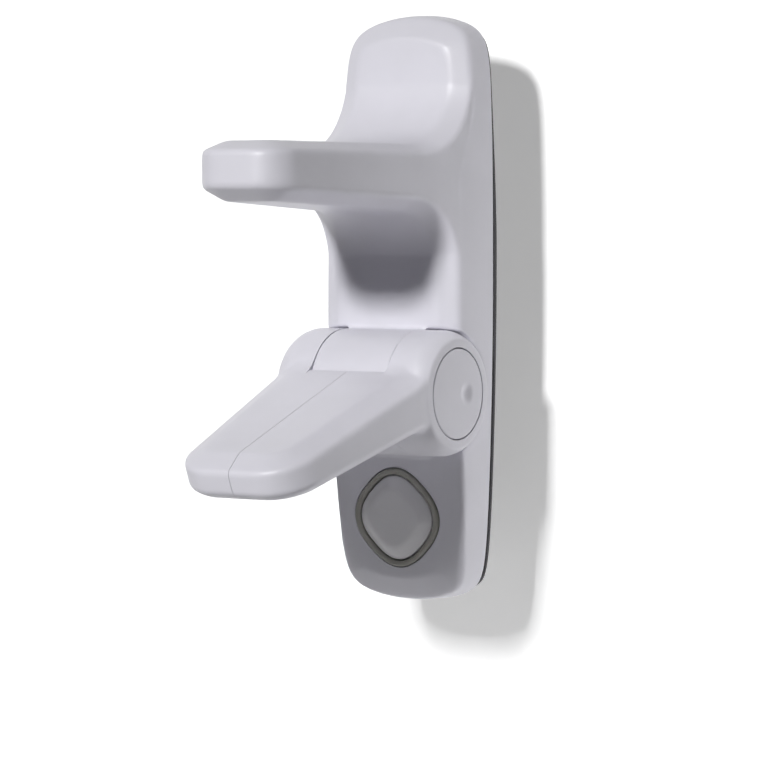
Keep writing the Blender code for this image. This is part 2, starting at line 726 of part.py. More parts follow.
def key_box(name, side, depth, grow):
    """Block across the drum's end that keys it to one half of the arm."""
    ends = sorted((side * (KNUCKLE_INNER - 2 * FIT - WALL), side * (KNUCKLE_INNER + depth)))
    long = KEY_LENGTH / 2 + grow
    wide = KEY_WIDTH / 2 + grow
    return box(name, (ends[0], -long, -wide), (ends[1], long, wide), ARM_PLACE)


def arm_half(name, side, look, pivot):
    """One moulded half of the lower arm: knuckle, hollow arm, bosses for the screws."""
    arm = lower_arm()
    half = mirrored_loft(name, arm.rings(0))
    far = 2 * KNUCKLE_HALF
    keep = sorted((side * SEAM / 2, -side * far))
    cut(half, box(f"{name}_other_side", (keep[0], -far, -far), (keep[1], 2 * ARM_LENGTH, far), ARM_PLACE))
    join(half, knuckle(f"{name}_knuckle", side))
    window = [rod(f"{name}_window", POCKET_RADIUS, -KNUCKLE_INNER, KNUCKLE_INNER, hinge_frame(1))]
    window.append(box(f"{name}_window_top", (-KNUCKLE_INNER, -BARREL_RADIUS, ARM_TOP + FIT / 4),
                      (KNUCKLE_INNER, BARREL_RADIUS + ARM_TOP_BEND, far), ARM_PLACE))
    cut(half, *window)
    core = mirrored_loft(f"{name}_core", arm.rings(WALL))
    for number, along in enumerate(ARM_SCREW_ALONG, 1):
        cut(core, rod(f"{name}_boss_{number}", BOSS_RADIUS + WALL, -far, far, arm_screw_place(along),
                      SCREW_STEPS))
    cut(half, core)
    place = hinge_frame(side)
    cut(half, rod(f"{name}_cap_seat", CAP_RADIUS + FIT, KNUCKLE_HALF - CAP_SEAT, KNUCKLE_HALF + PAST, place))
    cut(half, rod(f"{name}_bolt_hole", BOLT_RADIUS + FIT / 2, 0, KNUCKLE_HALF + PAST, place))
    cut(half, key_box(f"{name}_key_slot", side, KEY_DEPTH + FIT, FIT))
    pocket = KNUCKLE_HALF - CAP_SEAT - FIT
    if side > 0:
        cut(half, rod(f"{name}_head_pocket", BOLT_HEAD_RADIUS + FIT, pocket - BOLT_HEAD_HEIGHT - FIT,
                      KNUCKLE_HALF, place))
    else:
        cut(half, rod(f"{name}_nut_pocket", NUT_RADIUS + FIT, pocket - NUT_HEIGHT - FIT, KNUCKLE_HALF,
                      place, HEX_STEPS))
    for number, along in enumerate(ARM_SCREW_ALONG, 1):
        screw_place = arm_screw_place(along)
        cut(half, rod(f"{name}_screw_hole_{number}", SCREW_RADIUS + FIT / 2, -ARM_SCREW_LENGTH - FIT, far,
                      screw_place, SCREW_STEPS))
        if side < 0:
            cut(half, rod(f"{name}_head_well_{number}", SCREW_HEAD_RADIUS + FIT, -FIT, far, screw_place,
                          SCREW_STEPS))
    return finish(half, look, pivot)


def pivot_cap(name, side, look, pivot):
    """Round cap with a soft edge, and a dimple on the side towards the door."""
    top = KNUCKLE_HALF + CAP_PROUD
    low = KNUCKLE_HALF - CAP_THICKNESS
    profile = [(0, top), (CAP_RADIUS - CAP_EDGE, top), (CAP_RADIUS - CAP_EDGE / 4, top - CAP_EDGE / 4),
               (CAP_RADIUS, top - CAP_EDGE), (CAP_RADIUS, low), (0, low)]
    cap = turned(name, profile, hinge_frame(side))
    deep = top - CAP_DIMPLE_DEPTH
    wide = CAP_DIMPLE_RADIUS * (1 + PAST / CAP_DIMPLE_DEPTH / 2)
    dimple = [(0, top + PAST), (wide, top + PAST), (CAP_DIMPLE_RADIUS / 2, deep), (0, deep)]
    place = Matrix.Translation((0, CAP_DIMPLE_OFFSET, 0)) @ hinge_frame(side)
    cut(cap, turned(name + "_dimple", dimple, place, BOLT_STEPS))
    return finish(cap, look, pivot)


def pivot_bolt(look, pivot):
    """Bolt through both halves and the drum, head under the right cap."""
    top = KNUCKLE_HALF - CAP_SEAT - FIT
    seat = top - BOLT_HEAD_HEIGHT
    profile = [(0, top), (BOLT_HEAD_RADIUS, top), (BOLT_HEAD_RADIUS, seat), (BOLT_RADIUS, seat),
               (BOLT_RADIUS, -top), (0, -top)]
    bolt = turned("pivot_bolt", profile, hinge_frame(1), BOLT_STEPS)
    cut(bolt, rod("bolt_socket", BOLT_HEAD_RADIUS / 2, seat + BOLT_HEAD_HEIGHT / 3, KNUCKLE_HALF,
                  hinge_frame(1), HEX_STEPS))
    return finish(bolt, look, pivot)


def pivot_nut(look, pivot):
    """Hexagon nut under the left cap."""
    top = KNUCKLE_HALF - CAP_SEAT - FIT
    nut = rod("pivot_nut", NUT_RADIUS, top - NUT_HEIGHT, top, hinge_frame(-1), HEX_STEPS)
    cut(nut, rod("nut_bore", BOLT_RADIUS + FIT / 2, 0, KNUCKLE_HALF, hinge_frame(-1), BOLT_STEPS))
    return finish(nut, look, pivot)


def lock_drum(look, pivot):
    """Drum inside the body's own knuckle, keyed to both halves, with the latch's notch at its back."""
    half = KNUCKLE_INNER - FIT
    drum = rod("lock_drum", DRUM_RADIUS, -half, half, hinge_frame(1))
    for side in (-1, 1):
        join(drum, key_box(f"drum_key_{side}", side, KEY_DEPTH, 0))
    wide = LATCH_WIDTH / 2 + 2 * FIT
    cut(drum, box("drum_notch", (-wide, NOTCH_Y - NOTCH_DEPTH, NOTCH_Z - NOTCH_HEIGHT / 2),
                  (wide, NOTCH_Y + PAST, NOTCH_Z + NOTCH_HEIGHT / 2)))
    cut(drum, rod("drum_hole", BOLT_RADIUS + FIT / 2, -KNUCKLE_HALF, KNUCKLE_HALF, hinge_frame(1),
                  BOLT_STEPS))
    return finish(drum, look, pivot)


def joint_empty(name, place):
    """Empty that stands on a joint."""
    empty = bpy.data.objects.new(name, None)
    empty.location = place
    PARTS.objects.link(empty)
    return empty


def build():
    white = (0.80, 0.79, 0.85)
    steel = material("zinc_steel", (0.62, 0.62, 0.64), 0.3, 1.0)
    spring_steel = material("spring_steel", (0.45, 0.46, 0.48), 0.25, 1.0)
    inner = material("acetal", (0.86, 0.86, 0.84), 0.4)
    arm_white = material("arm_white", white, 0.3)
    arm_pivot = joint_empty("arm_pivot", HINGE)
    button_slide = joint_empty("button_slide", BUTTON_PLACE.translation)

    front_housing(material("housing_white", white, 0.3))
    back_plate(material("plate_grey", (0.55, 0.55, 0.57), 0.5))
    adhesive_pad(material("foam", (0.08, 0.08, 0.09), 0.9))
    for number, place in enumerate(plate_screw_places(), 1):
        finish(countersunk(f"plate_screw_{number}", place, SCREW_LENGTH, 0), steel)
    button_bezel(material("warm_grey", (0.38, 0.375, 0.34), 0.5))
    latch_spring(spring_steel)
    latch_screw(steel)

    arm_half("arm_left_half", -1, arm_white, arm_pivot)
    arm_half("arm_right_half", 1, arm_white, arm_pivot)
    pivot_cap("pivot_cap_left", -1, arm_white, arm_pivot)
    pivot_cap("pivot_cap_right", 1, arm_white, arm_pivot)
    pivot_bolt(steel, arm_pivot)
    pivot_nut(steel, arm_pivot)
    lock_drum(inner, arm_pivot)
    for number, along in enumerate(ARM_SCREW_ALONG, 1):
        finish(pan_head(f"arm_screw_{number}", arm_screw_place(along), ARM_SCREW_LENGTH), steel, arm_pivot)

    button(material("button_grey", (0.76, 0.765, 0.77), 0.4), button_slide)
    bpy.context.view_layer.update()


build()
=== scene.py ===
"""Door lever lock on a door face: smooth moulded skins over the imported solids, finishes, light and camera."""
import math

import bmesh
import bpy
from mathutils import Matrix, Vector


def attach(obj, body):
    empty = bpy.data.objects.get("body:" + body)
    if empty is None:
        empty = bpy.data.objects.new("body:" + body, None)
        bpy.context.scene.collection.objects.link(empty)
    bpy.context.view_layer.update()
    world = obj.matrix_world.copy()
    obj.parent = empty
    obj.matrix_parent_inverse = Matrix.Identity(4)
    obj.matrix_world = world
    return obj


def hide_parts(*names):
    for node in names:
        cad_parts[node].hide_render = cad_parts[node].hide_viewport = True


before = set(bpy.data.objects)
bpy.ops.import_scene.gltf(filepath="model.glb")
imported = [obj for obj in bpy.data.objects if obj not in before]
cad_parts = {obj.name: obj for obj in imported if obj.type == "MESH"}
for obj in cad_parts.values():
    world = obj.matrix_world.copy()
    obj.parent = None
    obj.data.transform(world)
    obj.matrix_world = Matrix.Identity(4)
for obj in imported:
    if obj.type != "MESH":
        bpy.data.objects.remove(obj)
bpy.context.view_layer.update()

MM = 0.001
MERGE = 1e-6

# Fits
FIT = 0.3 * MM  # gap between pieces that touch
RUNNING_GAP = 0.45 * MM  # gap around the turning knuckles
WALL = 2.2 * MM  # wall of every moulding
PAST = 3 * MM  # how far a cutter runs past what it cuts

# Body
TOP_END = 70.5 * MM
LOW_END = -TOP_END
BODY_HALF_WIDTH = 19.9 * MM  # at its widest level
WIDEST_Z = 12 * MM
SIDE_BOW_RADIUS = 8000 * MM  # above the widest level
LOW_SIDE_BOW_RADIUS = 1450 * MM  # below it
END_ARCH_RADIUS = 40 * MM
CORNER_SHARPNESS = 4
BOTTOM_DEPTH = 11.2 * MM  # door to front face, at the lower end
MIDDLE_DEPTH = 17.4 * MM  # between the arms
TOP_DEPTH = 10.9 * MM  # above the upper arm
BEVEL_WIDTH = 6.1 * MM  # broad bevel around the front
BEVEL_DROP = 2.4 * MM
LOW_BEVEL_DROP = 1.3 * MM  # below the hinge
LOW_BEVEL_REACH = 30 * MM  # height over which the drop changes to that
END_BEVEL_DEEPER = 2 * MM  # added to the drop at the body's ends
END_BEVEL_REACH = 16 * MM
SIDE_DRAFT = 0.72 * MM  # the front's crease lies this far inside the back edge at mid-height
SIDE_DRAFT_SLOPE = 0.009  # and further in by this share of the height
EDGE_SOFTNESS = 1.1 * MM
FRONT_SOFTNESS = 1.3 * MM
BACK_DEPTH = 1.5 * MM  # door to the moulding's back edge
SEAT_DEPTH = 3.8 * MM  # door to the bottom of the back plate's seat

# Foam pad
PAD_THICKNESS = 1.25 * MM
PAD_INSET = 0.1 * MM  # inside the body's outline along the sides
PAD_END_INSET = 1.2 * MM  # and at the ends
PAD_TOP_SHOULDER = 14 * MM  # the pad draws in above this level
PAD_TOP_REACH = 44 * MM
PAD_LOW_SHOULDER = -64 * MM  # and below this one
PAD_LOW_REACH = 6 * MM

# Upper arm
UPPER_REACH = 79 * MM  # door to tip
UPPER_TOP_Z = 38.9 * MM
UPPER_UNDER_Z = 23.3 * MM  # at the root
UPPER_UNDER_RISE = 2.1 * MM  # how much higher the underside is at the tip
UPPER_ROOT_HALF = 19 * MM
UPPER_TIP_HALF = 11.7 * MM
UPPER_CORNER = 7.5 * MM
ARM_BEVEL_WIDTH = 5.6 * MM  # on both arms
TOP_BEVEL_DROP = 2.3 * MM
UNDER_BEVEL_DROP = 2.9 * MM
OVER_BEND_RADIUS = 17.5 * MM
UNDER_BEND_RADIUS = 13.5 * MM
BEND_TURN = math.radians(88)
BEND_DIP = 0.3 * MM  # how far a bend runs into the face it meets

# Hinge
HINGE = Vector((0, -19.6 * MM, -19.4 * MM))
BARREL_RADIUS = 14.8 * MM
POCKET_RADIUS = BARREL_RADIUS + RUNNING_GAP
POCKET_WALL = 1.9 * MM
KNUCKLE_HALF = 21.5 * MM  # middle of the hinge to the outer face of a knuckle
KNUCKLE_INNER = 10.75 * MM  # and to its inner face
WINDOW_GAP = 0.06 * MM  # between the centre knuckle and the arm's knuckles
CENTRE_HALF = KNUCKLE_INNER - WINDOW_GAP
KNUCKLE_CROWN = 4.5 * MM  # length over which a knuckle's end draws in
KNUCKLE_CROWN_DROP = 1.9 * MM
LEDGE_CORNER = 2 * MM  # rounding of the ledge over a knuckle
LEDGE_CORNER_X = 17.7 * MM
LEDGE_Z = HINGE.z + BARREL_RADIUS
CAP_RADIUS = 10.6 * MM
CAP_SEAT_RADIUS = 10.88 * MM
CAP_SEAT = 2.8 * MM  # depth of the seat
CAP_PROUD = 0.05 * MM
CAP_BACK = 19.5 * MM  # middle of the hinge to the cap's inner face
CAP_EDGE = 0.35 * MM
DIMPLE_OFFSET = 3.8 * MM  # middle of the cap to the dimple, towards the door
DIMPLE_RADIUS = 3 * MM
DIMPLE_DEPTH = 0.75 * MM
DRUM_BORE = 11.3 * MM  # radius
BOLT_BORE = 6 * MM  # radius
KEY_DEPTH = 2.3 * MM
KEY_HALF_LENGTH = 8.8 * MM
KEY_HALF_WIDTH = 2.3 * MM

# Skirt under the centre knuckle, as points out and down from the hinge axis
SKIRT_OUTLINE = ((-3 * MM, 10 * MM), (-3 * MM, 14.45 * MM), (-5.8 * MM, 16 * MM),
                 (-9 * MM, 14 * MM), (-9 * MM, 10 * MM))

# Window behind the drum for the latch strip
LATCH_WINDOW_HALF = 4.9 * MM
LATCH_WINDOW_FRONT = -12 * MM
LATCH_WINDOW_BACK = -3.5 * MM
LATCH_WINDOW_LOW = -41 * MM

# Lower arm, along its own line from the hinge axis and up square to it
ARM_DROOP = math.radians(21.5)
ARM_LENGTH = 62.7 * MM
ARM_TOP = 10.2 * MM  # hinge axis up to the top face
ARM_UNDER = 4.1 * MM  # hinge axis down to the underside at the root
ARM_UNDER_SLOPE = 0.07
ARM_ROOT_HALF = 21.3 * MM
ARM_STRAIGHT = 22 * MM  # the sides start to draw in here
ARM_TIP_HALF = 16.2 * MM
ARM_CORNER = 9.5 * MM
ARM_UNDER_BEVEL_WIDTH = 2.6 * MM
ARM_UNDER_BEVEL_DROP = 2 * MM
ARM_TOP_BEND = 8 * MM
ARM_UNDER_BEND = 3 * MM
ARM_SCREW_ALONG = (30 * MM, 48 * MM)
ARM_SCREW_UP = 4.4 * MM
ARM_SCREW_SEAT_X = -5.4 * MM  # where the heads bear
ARM_BOSS_RADIUS = 5.1 * MM
ARM_SCREW_WELL = 2.8 * MM  # radius of the recess over a head
SEAM_GAP = 0.045 * MM  # on each side of the seam

# Button and its ring
BUTTON_Z = -49.8 * MM
RING_HALF_SIDE = 11 * MM  # the diamond is a square with bowed sides, stood on a corner
RING_SQUARENESS = 2.55  # 2 would make it round
RING_BAND = 1.4 * MM
RING_EDGE = 0.45 * MM
RING_GAP = 0.3 * MM
RING_PROUD = 0.5 * MM
RING_SEAT = 1.5 * MM  # depth of the seat in the front face
BUTTON_PROUD = 2 * MM
BUTTON_CHAMFER = 3 * MM
BUTTON_CHAMFER_DROP = 1.8 * MM
BUTTON_CHAMFER_SOFTNESS = 0.9 * MM
BUTTON_EDGE = 0.4 * MM
BUTTON_FLANGE = 0.9 * MM  # how far the flange reaches past the hole
FLANGE_THICKNESS = 1 * MM
FLANGE_PAST = 0.2 * MM  # how far the flange stands below the button's wall
PLUNGER_RADIUS = 3 * MM
PLUNGER_END = -4.9 * MM  # along the button's own line, from the front face

# Screws
PLATE_SCREWS = ((10 * MM, 57 * MM), (11.6 * MM, -60 * MM))
LATCH_SCREW = Vector((0, -6.4 * MM, -63.8 * MM))
LATCH_BOSS_GAP = 1.2 * MM  # screw's placement down to the top of its boss
SCREW_RADIUS = 1.25 * MM
SCREW_HEAD_RADIUS = 2.5 * MM
SCREW_HEAD_HEIGHT = 1.3 * MM
PAN_HEAD_TOP = 0.78  # top radius of a pan head, as a share of its base
THREAD_PITCH = 0.8 * MM
THREAD_DEPTH = 0.28 * MM
SCREW_TIP = 1 * MM
TIP_NARROW = 0.3  # end of the tip, as a share of the shank
HEAD_OVERLAP = 0.3  # share of the head that the shank runs into
RECESS_SPAN = 2.6 * MM
RECESS_WIDTH = 0.6 * MM
RECESS_DEPTH = 0.8 * MM
PLATE_SCREW_LENGTH = 7 * MM
LATCH_SCREW_LENGTH = 3.9 * MM
ARM_SCREW_LENGTH = 17 * MM
BOSS_RADIUS = 2.9 * MM
BOSS_ROOT = 0.4 * MM  # how far a boss runs into the wall it stands on

FRONT_SLOPE = (MIDDLE_DEPTH - BOTTOM_DEPTH) / (LEDGE_Z - LOW_END)
BUTTON_TILT = math.atan(FRONT_SLOPE)

# Finishes
WHITE = (0.762, 0.752, 0.816)
WARM_GREY = (0.38, 0.375, 0.34)
BUTTON_GREY = (0.775, 0.765, 0.79)
PLATED_STEEL = (0.62, 0.62, 0.64)
STRIP_STEEL = (0.45, 0.46, 0.48)
FOAM_BLACK = (0.06, 0.06, 0.065)
PLATE_GREY = (0.5, 0.5, 0.52)
DRUM_WHITE = (0.84, 0.84, 0.82)
MOTTLE_SCALE = 60
MOTTLE_DETAIL = 4
MOTTLE_SPAN = (0.3, 0.7)  # part of the noise that the tints lie between
MOTTLE_TINT = (0.97, 1.02)  # darkest and lightest, as shares of the colour
MOTTLE_GLOSS = (0.9, 1.12)  # least and most, as shares of the roughness
GRAIN_SCALE = 2600
GRAIN_DETAIL = 2
GRAIN_HEIGHT = 0.05 * MM
DRAWN_LINES = (3000, 300, 300)  # scale of the lines in drawn steel, along each axis
DRAWN_TINT = (0.85, 1)
DRAWN_GLOSS = (0.8, 1.3)

# Studio
BACKDROP_Y = 22 * MM
BACKDROP_TOP = 90 * MM
STAGE_HALF_WIDTH = 240 * MM
FLOOR_Z = -112 * MM
FLOOR_NEAR_Y = -200 * MM
BACKDROP_WHITE = 0.97
BACKDROP_GLOW = 0.33
FLOOR_PALE = 0.66
FLOOR_GLOW = 0  # on the lock
FLOOR_SEEN_GLOW = 0.72  # to the camera
KEY_TOWARD = (0, -1, 0.43)
KEY_AIM = (0, -30 * MM, 0)
KEY_DISTANCE = 2.2
KEY_SIZE = 0.22
KEY_WATTS = 41.8
WORLD_LIGHT = 0.01  # on the lock
WORLD_WHITE = 1.0  # to the camera, and in what is mirrored from behind
BEHIND_BLEND = 0.2
CAMERA_PLACE = (0.45261, -0.68897, 0.01971)
CAMERA_LOOK = (-0.55902, 0.82787, -0.04617)
CAMERA_LENS = 160.08
SENSOR_WIDTH = 36
NEAR_CLIP = 0.05

# Fineness
HOUSING_VOXEL = 0.5 * MM
ARM_VOXEL = 0.42 * MM
SOFT_ROUNDS = 4
SOFT_FACTOR = 0.5
SOFT_MOST = 0.45  # a rounding takes at most this share of an edge
CREASE_ANGLE = math.radians(35)  # sharper edges stay crisp
SCREW_CREASE_ANGLE = math.radians(30)
OUTLINE_STEPS = 110
SOFT_STEPS = 5
TIP_STEPS = 16
BEND_STEPS = 20
LEDGE_STEPS = 8
CROWN_STEPS = 12
CAP_RINGS = 40
CAP_EDGE_STEPS = 5
DIAMOND_STEPS = 120
ROUND_STEPS = 128
PIN_STEPS = 48
BOSS_STEPS = 40
HOLE_STEPS = 32
HEAD_SIDES = 48
SHANK_SIDES = 32
RINGS_PER_TURN = 8.0


def placed(origin, z_axis, x_axis=(1, 0, 0)):
    """Placement whose own Z and X point along the given directions."""
    z_axis = Vector(z_axis).normalized()
    x_axis = Vector(x_axis).normalized()
    turn = Matrix((x_axis, z_axis.cross(x_axis), z_axis)).transposed()
    return Matrix.Translation(origin) @ turn.to_4x4()


def new_object(name, bm):
    """Object from a closed bmesh, with its faces pointing out."""
    bmesh.ops.remove_doubles(bm, verts=bm.verts, dist=MERGE)
    bmesh.ops.dissolve_degenerate(bm, edges=bm.edges, dist=MERGE)
    bmesh.ops.triangulate(bm, faces=bm.faces)
    bmesh.ops.recalc_face_normals(bm, faces=bm.faces)
    mesh = bpy.data.meshes.new(name)
    bm.to_mesh(mesh)
    bm.free()
    made = bpy.data.objects.new(name, mesh)
    bpy.context.scene.collection.objects.link(made)
    return made


def settle(piece):
    """Fix a piece's modifiers into its mesh."""
    bpy.context.view_layer.update()
    mesh = bpy.data.meshes.new_from_object(piece.evaluated_get(bpy.context.evaluated_depsgraph_get()))
    old = piece.data
    piece.modifiers.clear()
    piece.data = mesh
    bpy.data.meshes.remove(old)
    return piece


def shape(piece, tools, operation):
    """Cut tools out of a piece, or join them to it, and put the tools away."""
    for tool in tools:
        change = piece.modifiers.new("shape", "BOOLEAN")
        change.operation = operation
        change.solver = "MANIFOLD"
        change.object = tool
        settle(piece)
        bpy.data.objects.remove(tool, do_unlink=True)
    return piece


def cut(piece, *tools):
    return shape(piece, tools, "DIFFERENCE")


def join(piece, *tools):
    return shape(piece, tools, "UNION")


def block(low, high, place=None):
    """Block between two corners of a placement."""
    low, high = Vector(low), Vector(high)
    bm = bmesh.new()
    bmesh.ops.create_cube(bm, size=1)
    fit = Matrix.Translation((low + high) / 2) @ Matrix.Diagonal((*(high - low), 1))
    bm.transform((place or Matrix()) @ fit)
    return new_object("block", bm)


def from_shape(name, outline, place):
    """Closed mesh object from a profile or a curve, which is then removed."""
    bpy.context.scene.collection.objects.link(outline)
    bpy.context.view_layer.update()
    solid = bpy.data.meshes.new_from_object(outline.evaluated_get(bpy.context.evaluated_depsgraph_get()))
    bm = bmesh.new()
    bm.from_mesh(solid)
    bm.transform(place)
    bpy.data.objects.remove(outline, do_unlink=True)
    bpy.data.meshes.remove(solid)
    return new_object(name, bm)


def turned(name, profile, place, steps=ROUND_STEPS):
    """Turned piece from (radius, height) points listed from top to bottom."""
    mesh = bpy.data.meshes.new(name + "_profile")
    points = [(radius, 0, height) for radius, height in profile]
    mesh.from_pydata(points, [(k, k + 1) for k in range(len(points) - 1)], [])
    outline = bpy.data.objects.new(name + "_profile", mesh)
    screw = outline.modifiers.new("turn", "SCREW")
    screw.steps = screw.render_steps = steps
    screw.use_merge_vertices = True
    screw.merge_threshold = MERGE
    return from_shape(name, outline, place)


def rod(radius, low, high, place, steps=ROUND_STEPS):
    """Plain cylinder along a placement's own Z."""
    return turned("rod", [(0, high), (radius, high), (radius, low), (0, low)], place, steps)


def slab(name, outline, low, high, place):
    """Flat piece in an outline, across a placement's own Z."""
    curve = bpy.data.curves.new(name + "_outline", "CURVE")
    curve.dimensions = "2D"
    curve.fill_mode = "BOTH"
    curve.extrude = (high - low) / 2
    spline = curve.splines.new("POLY")
    spline.points.add(len(outline) - 1)
    spline.use_cyclic_u = True
    for point, (x, y) in zip(spline.points, outline):
        point.co = (x, y, 0, 1)
    drawn = bpy.data.objects.new(name + "_outline", curve)
    return from_shape(name, drawn, place @ Matrix.Translation((0, 0, (low + high) / 2)))


def mirrored_loft(name, rings):
    """Closed skin over rings that are given down their right side only."""
    bm = bmesh.new()
    loops = []
    for ring in rings:
        right = [bm.verts.new(point) for point in ring]
        left = [bm.verts.new((-point[0], point[1], point[2])) for point in reversed(ring)]
        loops.append(right + left)
    for one, two in zip(loops, loops[1:]):
        for k in range(len(one)):
            n = (k + 1) % len(one)
            bm.faces.new((one[k], one[n], two[n], two[k]))
    for loop in (loops[0], loops[-1]):
        for k in range(len(loop) // 2 - 1):
            bm.faces.new((loop[k], loop[k + 1], loop[-2 - k], loop[-1 - k]))
    return new_object(name, bm)


def moulded(piece, voxel):
    """One smooth skin over a joined form: its edges and joints soften as a mould's do."""
    skin = piece.modifiers.new("skin", "REMESH")
    skin.mode = "VOXEL"
    skin.voxel_size = voxel
    soft = piece.modifiers.new("soft", "SMOOTH")
    soft.factor = SOFT_FACTOR
    soft.iterations = SOFT_ROUNDS
    return settle(piece)


def smooth_faces(piece, angle=CREASE_ANGLE):
    """Smooth shading that stays crisp on edges sharper than an angle."""
    piece.data.shade_smooth()
    piece.data.set_sharp_from_angle(angle=angle)
    return piece


def soften(before, corner, after, reach):
    """Points that round off a corner."""
    before, corner, after = Vector(before), Vector(corner), Vector(after)
    start = corner + (before - corner) * min(reach / max((before - corner).length, MERGE), SOFT_MOST)
    end = corner + (after - corner) * min(reach / max((after - corner).length, MERGE), SOFT_MOST)
    points = []
    for step in range(SOFT_STEPS):
        t = step / (SOFT_STEPS - 1)
        points.append(start * (1 - t) ** 2 + corner * 2 * t * (1 - t) + end * t ** 2)
    return points


def soft_side(points, reaches):
    """Right side of a ring with each corner rounded by its own reach."""
    mirror = Matrix.Diagonal((-1, 1, 1))
    softened = []
    for k, (corner, reach) in enumerate(zip(points, reaches)):
        before = points[k - 1] if k else mirror @ Vector(corner)
        after = points[k + 1] if k + 1 < len(points) else mirror @ Vector(corner)
        softened += soften(before, corner, after, reach)
    return softened


def half_width(z):
    """Half the width of the body's front outline at a height."""
    arch = math.sqrt(2 * END_ARCH_RADIUS * max(TOP_END - abs(z), 0))
    if arch < MERGE:
        return 0.0
    bow = SIDE_BOW_RADIUS if z > WIDEST_Z else LOW_SIDE_BOW_RADIUS
    side = BODY_HALF_WIDTH - (z - WIDEST_Z) ** 2 / (2 * bow)
    return (side ** -CORNER_SHARPNESS + arch ** -CORNER_SHARPNESS) ** (-1 / CORNER_SHARPNESS)


def body_outline(inset, slope=0.0):
    """Right half of the front outline as (x, z), bottom to top, moved inwards.

    Along the sides the inset changes with height by the slope.
    """
    turns = [math.pi * (k / OUTLINE_STEPS - 0.5) for k in range(OUTLINE_STEPS + 1)]
    points = [(half_width(math.sin(turn) * TOP_END), math.sin(turn) * TOP_END) for turn in turns]
    outline = []
    for k, (x, z) in enumerate(points):
        ahead = points[min(k + 1, OUTLINE_STEPS)]
        behind = points[max(k - 1, 0)]
        along = Vector((ahead[0] - behind[0], ahead[1] - behind[1])).normalized()
        if k in (0, OUTLINE_STEPS):
            along = Vector((1 if k == 0 else -1, 0))
        here = inset + slope * z * abs(along.y)
        outline.append((max(x - along.y * here, 0), z + along.x * here))
    return outline


def front_depth(z):
    """Depth of the body's flat front, door to face, at a height."""
    over_arm = UPPER_TOP_Z + OVER_BEND_RADIUS / 2
    in_arm = (UPPER_TOP_Z + UPPER_UNDER_Z) / 2
    if z < LEDGE_Z:
        return BOTTOM_DEPTH + (z - LOW_END) * FRONT_SLOPE
    if z < in_arm:
        return MIDDLE_DEPTH
    share = min((z - in_arm) / (over_arm - in_arm), 1)
    return MIDDLE_DEPTH + (TOP_DEPTH - MIDDLE_DEPTH) * share


def bevel_drop(z):
    """Drop of the front's bevel at a height: less below the hinge, and more at the body's ends."""
    low = min(max((LEDGE_Z - z) / LOW_BEVEL_REACH, 0), 1)
    end = max(1 - (TOP_END - abs(z)) / END_BEVEL_REACH, 0)
    return BEVEL_DROP + (LOW_BEVEL_DROP - BEVEL_DROP) * low + END_BEVEL_DEEPER * end ** 2


def body_rings(inset):
    """Rings of the body up its height: flat front, side crease, back edge. Only the outside is softened."""
    rings = []
    lean = math.atan2(BEVEL_DROP, BEVEL_WIDTH - SIDE_DRAFT)
    flat = body_outline(BEVEL_WIDTH + inset * math.tan(lean / 2))
    crease = body_outline(SIDE_DRAFT + inset, SIDE_DRAFT_SLOPE)
    back = body_outline(inset)
    below = inset * math.tan(math.pi / 4 - lean / 2)
    for (fx, fz), (cx, cz), (bx, bz) in zip(flat, crease, back):
        crease_y = bevel_drop(cz) + below - front_depth(cz)
        ring = [(fx, inset - front_depth(fz), fz), (cx, crease_y, cz), (bx, PAST, bz)]
        if not inset:
            ring = soft_side(ring, (FRONT_SOFTNESS, EDGE_SOFTNESS)) + ring[2:]
        rings.append(ring)
    return rings


class ArmFace:
    """Top (side 1) or underside (side -1) of an arm, from its tip to the bend at its root."""

    def __init__(self, side, level, slope, bevel_width, bevel_drop):
        self.side = side
        self.level = level
        self.slope = slope
        self.bevel_width = bevel_width
        self.bevel_drop = bevel_drop

    def bend(self, start, radius, turn, end_width, end_drop):
        self.bend_start = start
        self.bend_radius = radius
        self.bend_turn = turn
        self.end_width = end_width
        self.end_drop = end_drop
        return self

    def height(self, along):
        return self.level + self.slope * along

    def edge(self, arm, inset, bevelled):
        """Points (x, along, up) of the flat's edge, or of the crease below its bevel."""
        trim = inset + (self.bevel_width if bevelled else 0)
        drop = inset + (0 if bevelled else self.bevel_drop)
        corner = max(arm.corner - trim, MM)
        tip = arm.tip - trim
        points = []
        for step in range(TIP_STEPS + 1):
            turn = math.pi / 2 * step / TIP_STEPS
            along = tip - corner * (1 - math.cos(turn))
            x = arm.half(along) - trim - corner * (1 - math.sin(turn))
            points.append((x, along, self.height(along) - self.side * drop))
        if inset:
            points.append((arm.half(arm.core_end) - trim, arm.core_end,
                           self.height(arm.core_end) - self.side * drop))
            return points
        deeper = 0 if bevelled else self.end_drop - self.bevel_drop
        wider = self.end_width - self.bevel_width if bevelled else 0
        for step in range(BEND_STEPS + 1):
            share = step / BEND_STEPS
            turn = self.bend_turn * share
            radius = self.bend_radius + drop + deeper * share
            along = self.bend_start - radius * math.sin(turn)
            up = self.height(self.bend_start) + self.side * (self.bend_radius - radius * math.cos(turn))
            points.append((min(arm.half(along), arm.width_limit(up)) - trim - wider * share, along, up))
        points.append((points[-1][0], arm.root, points[-1][2]))
        return points


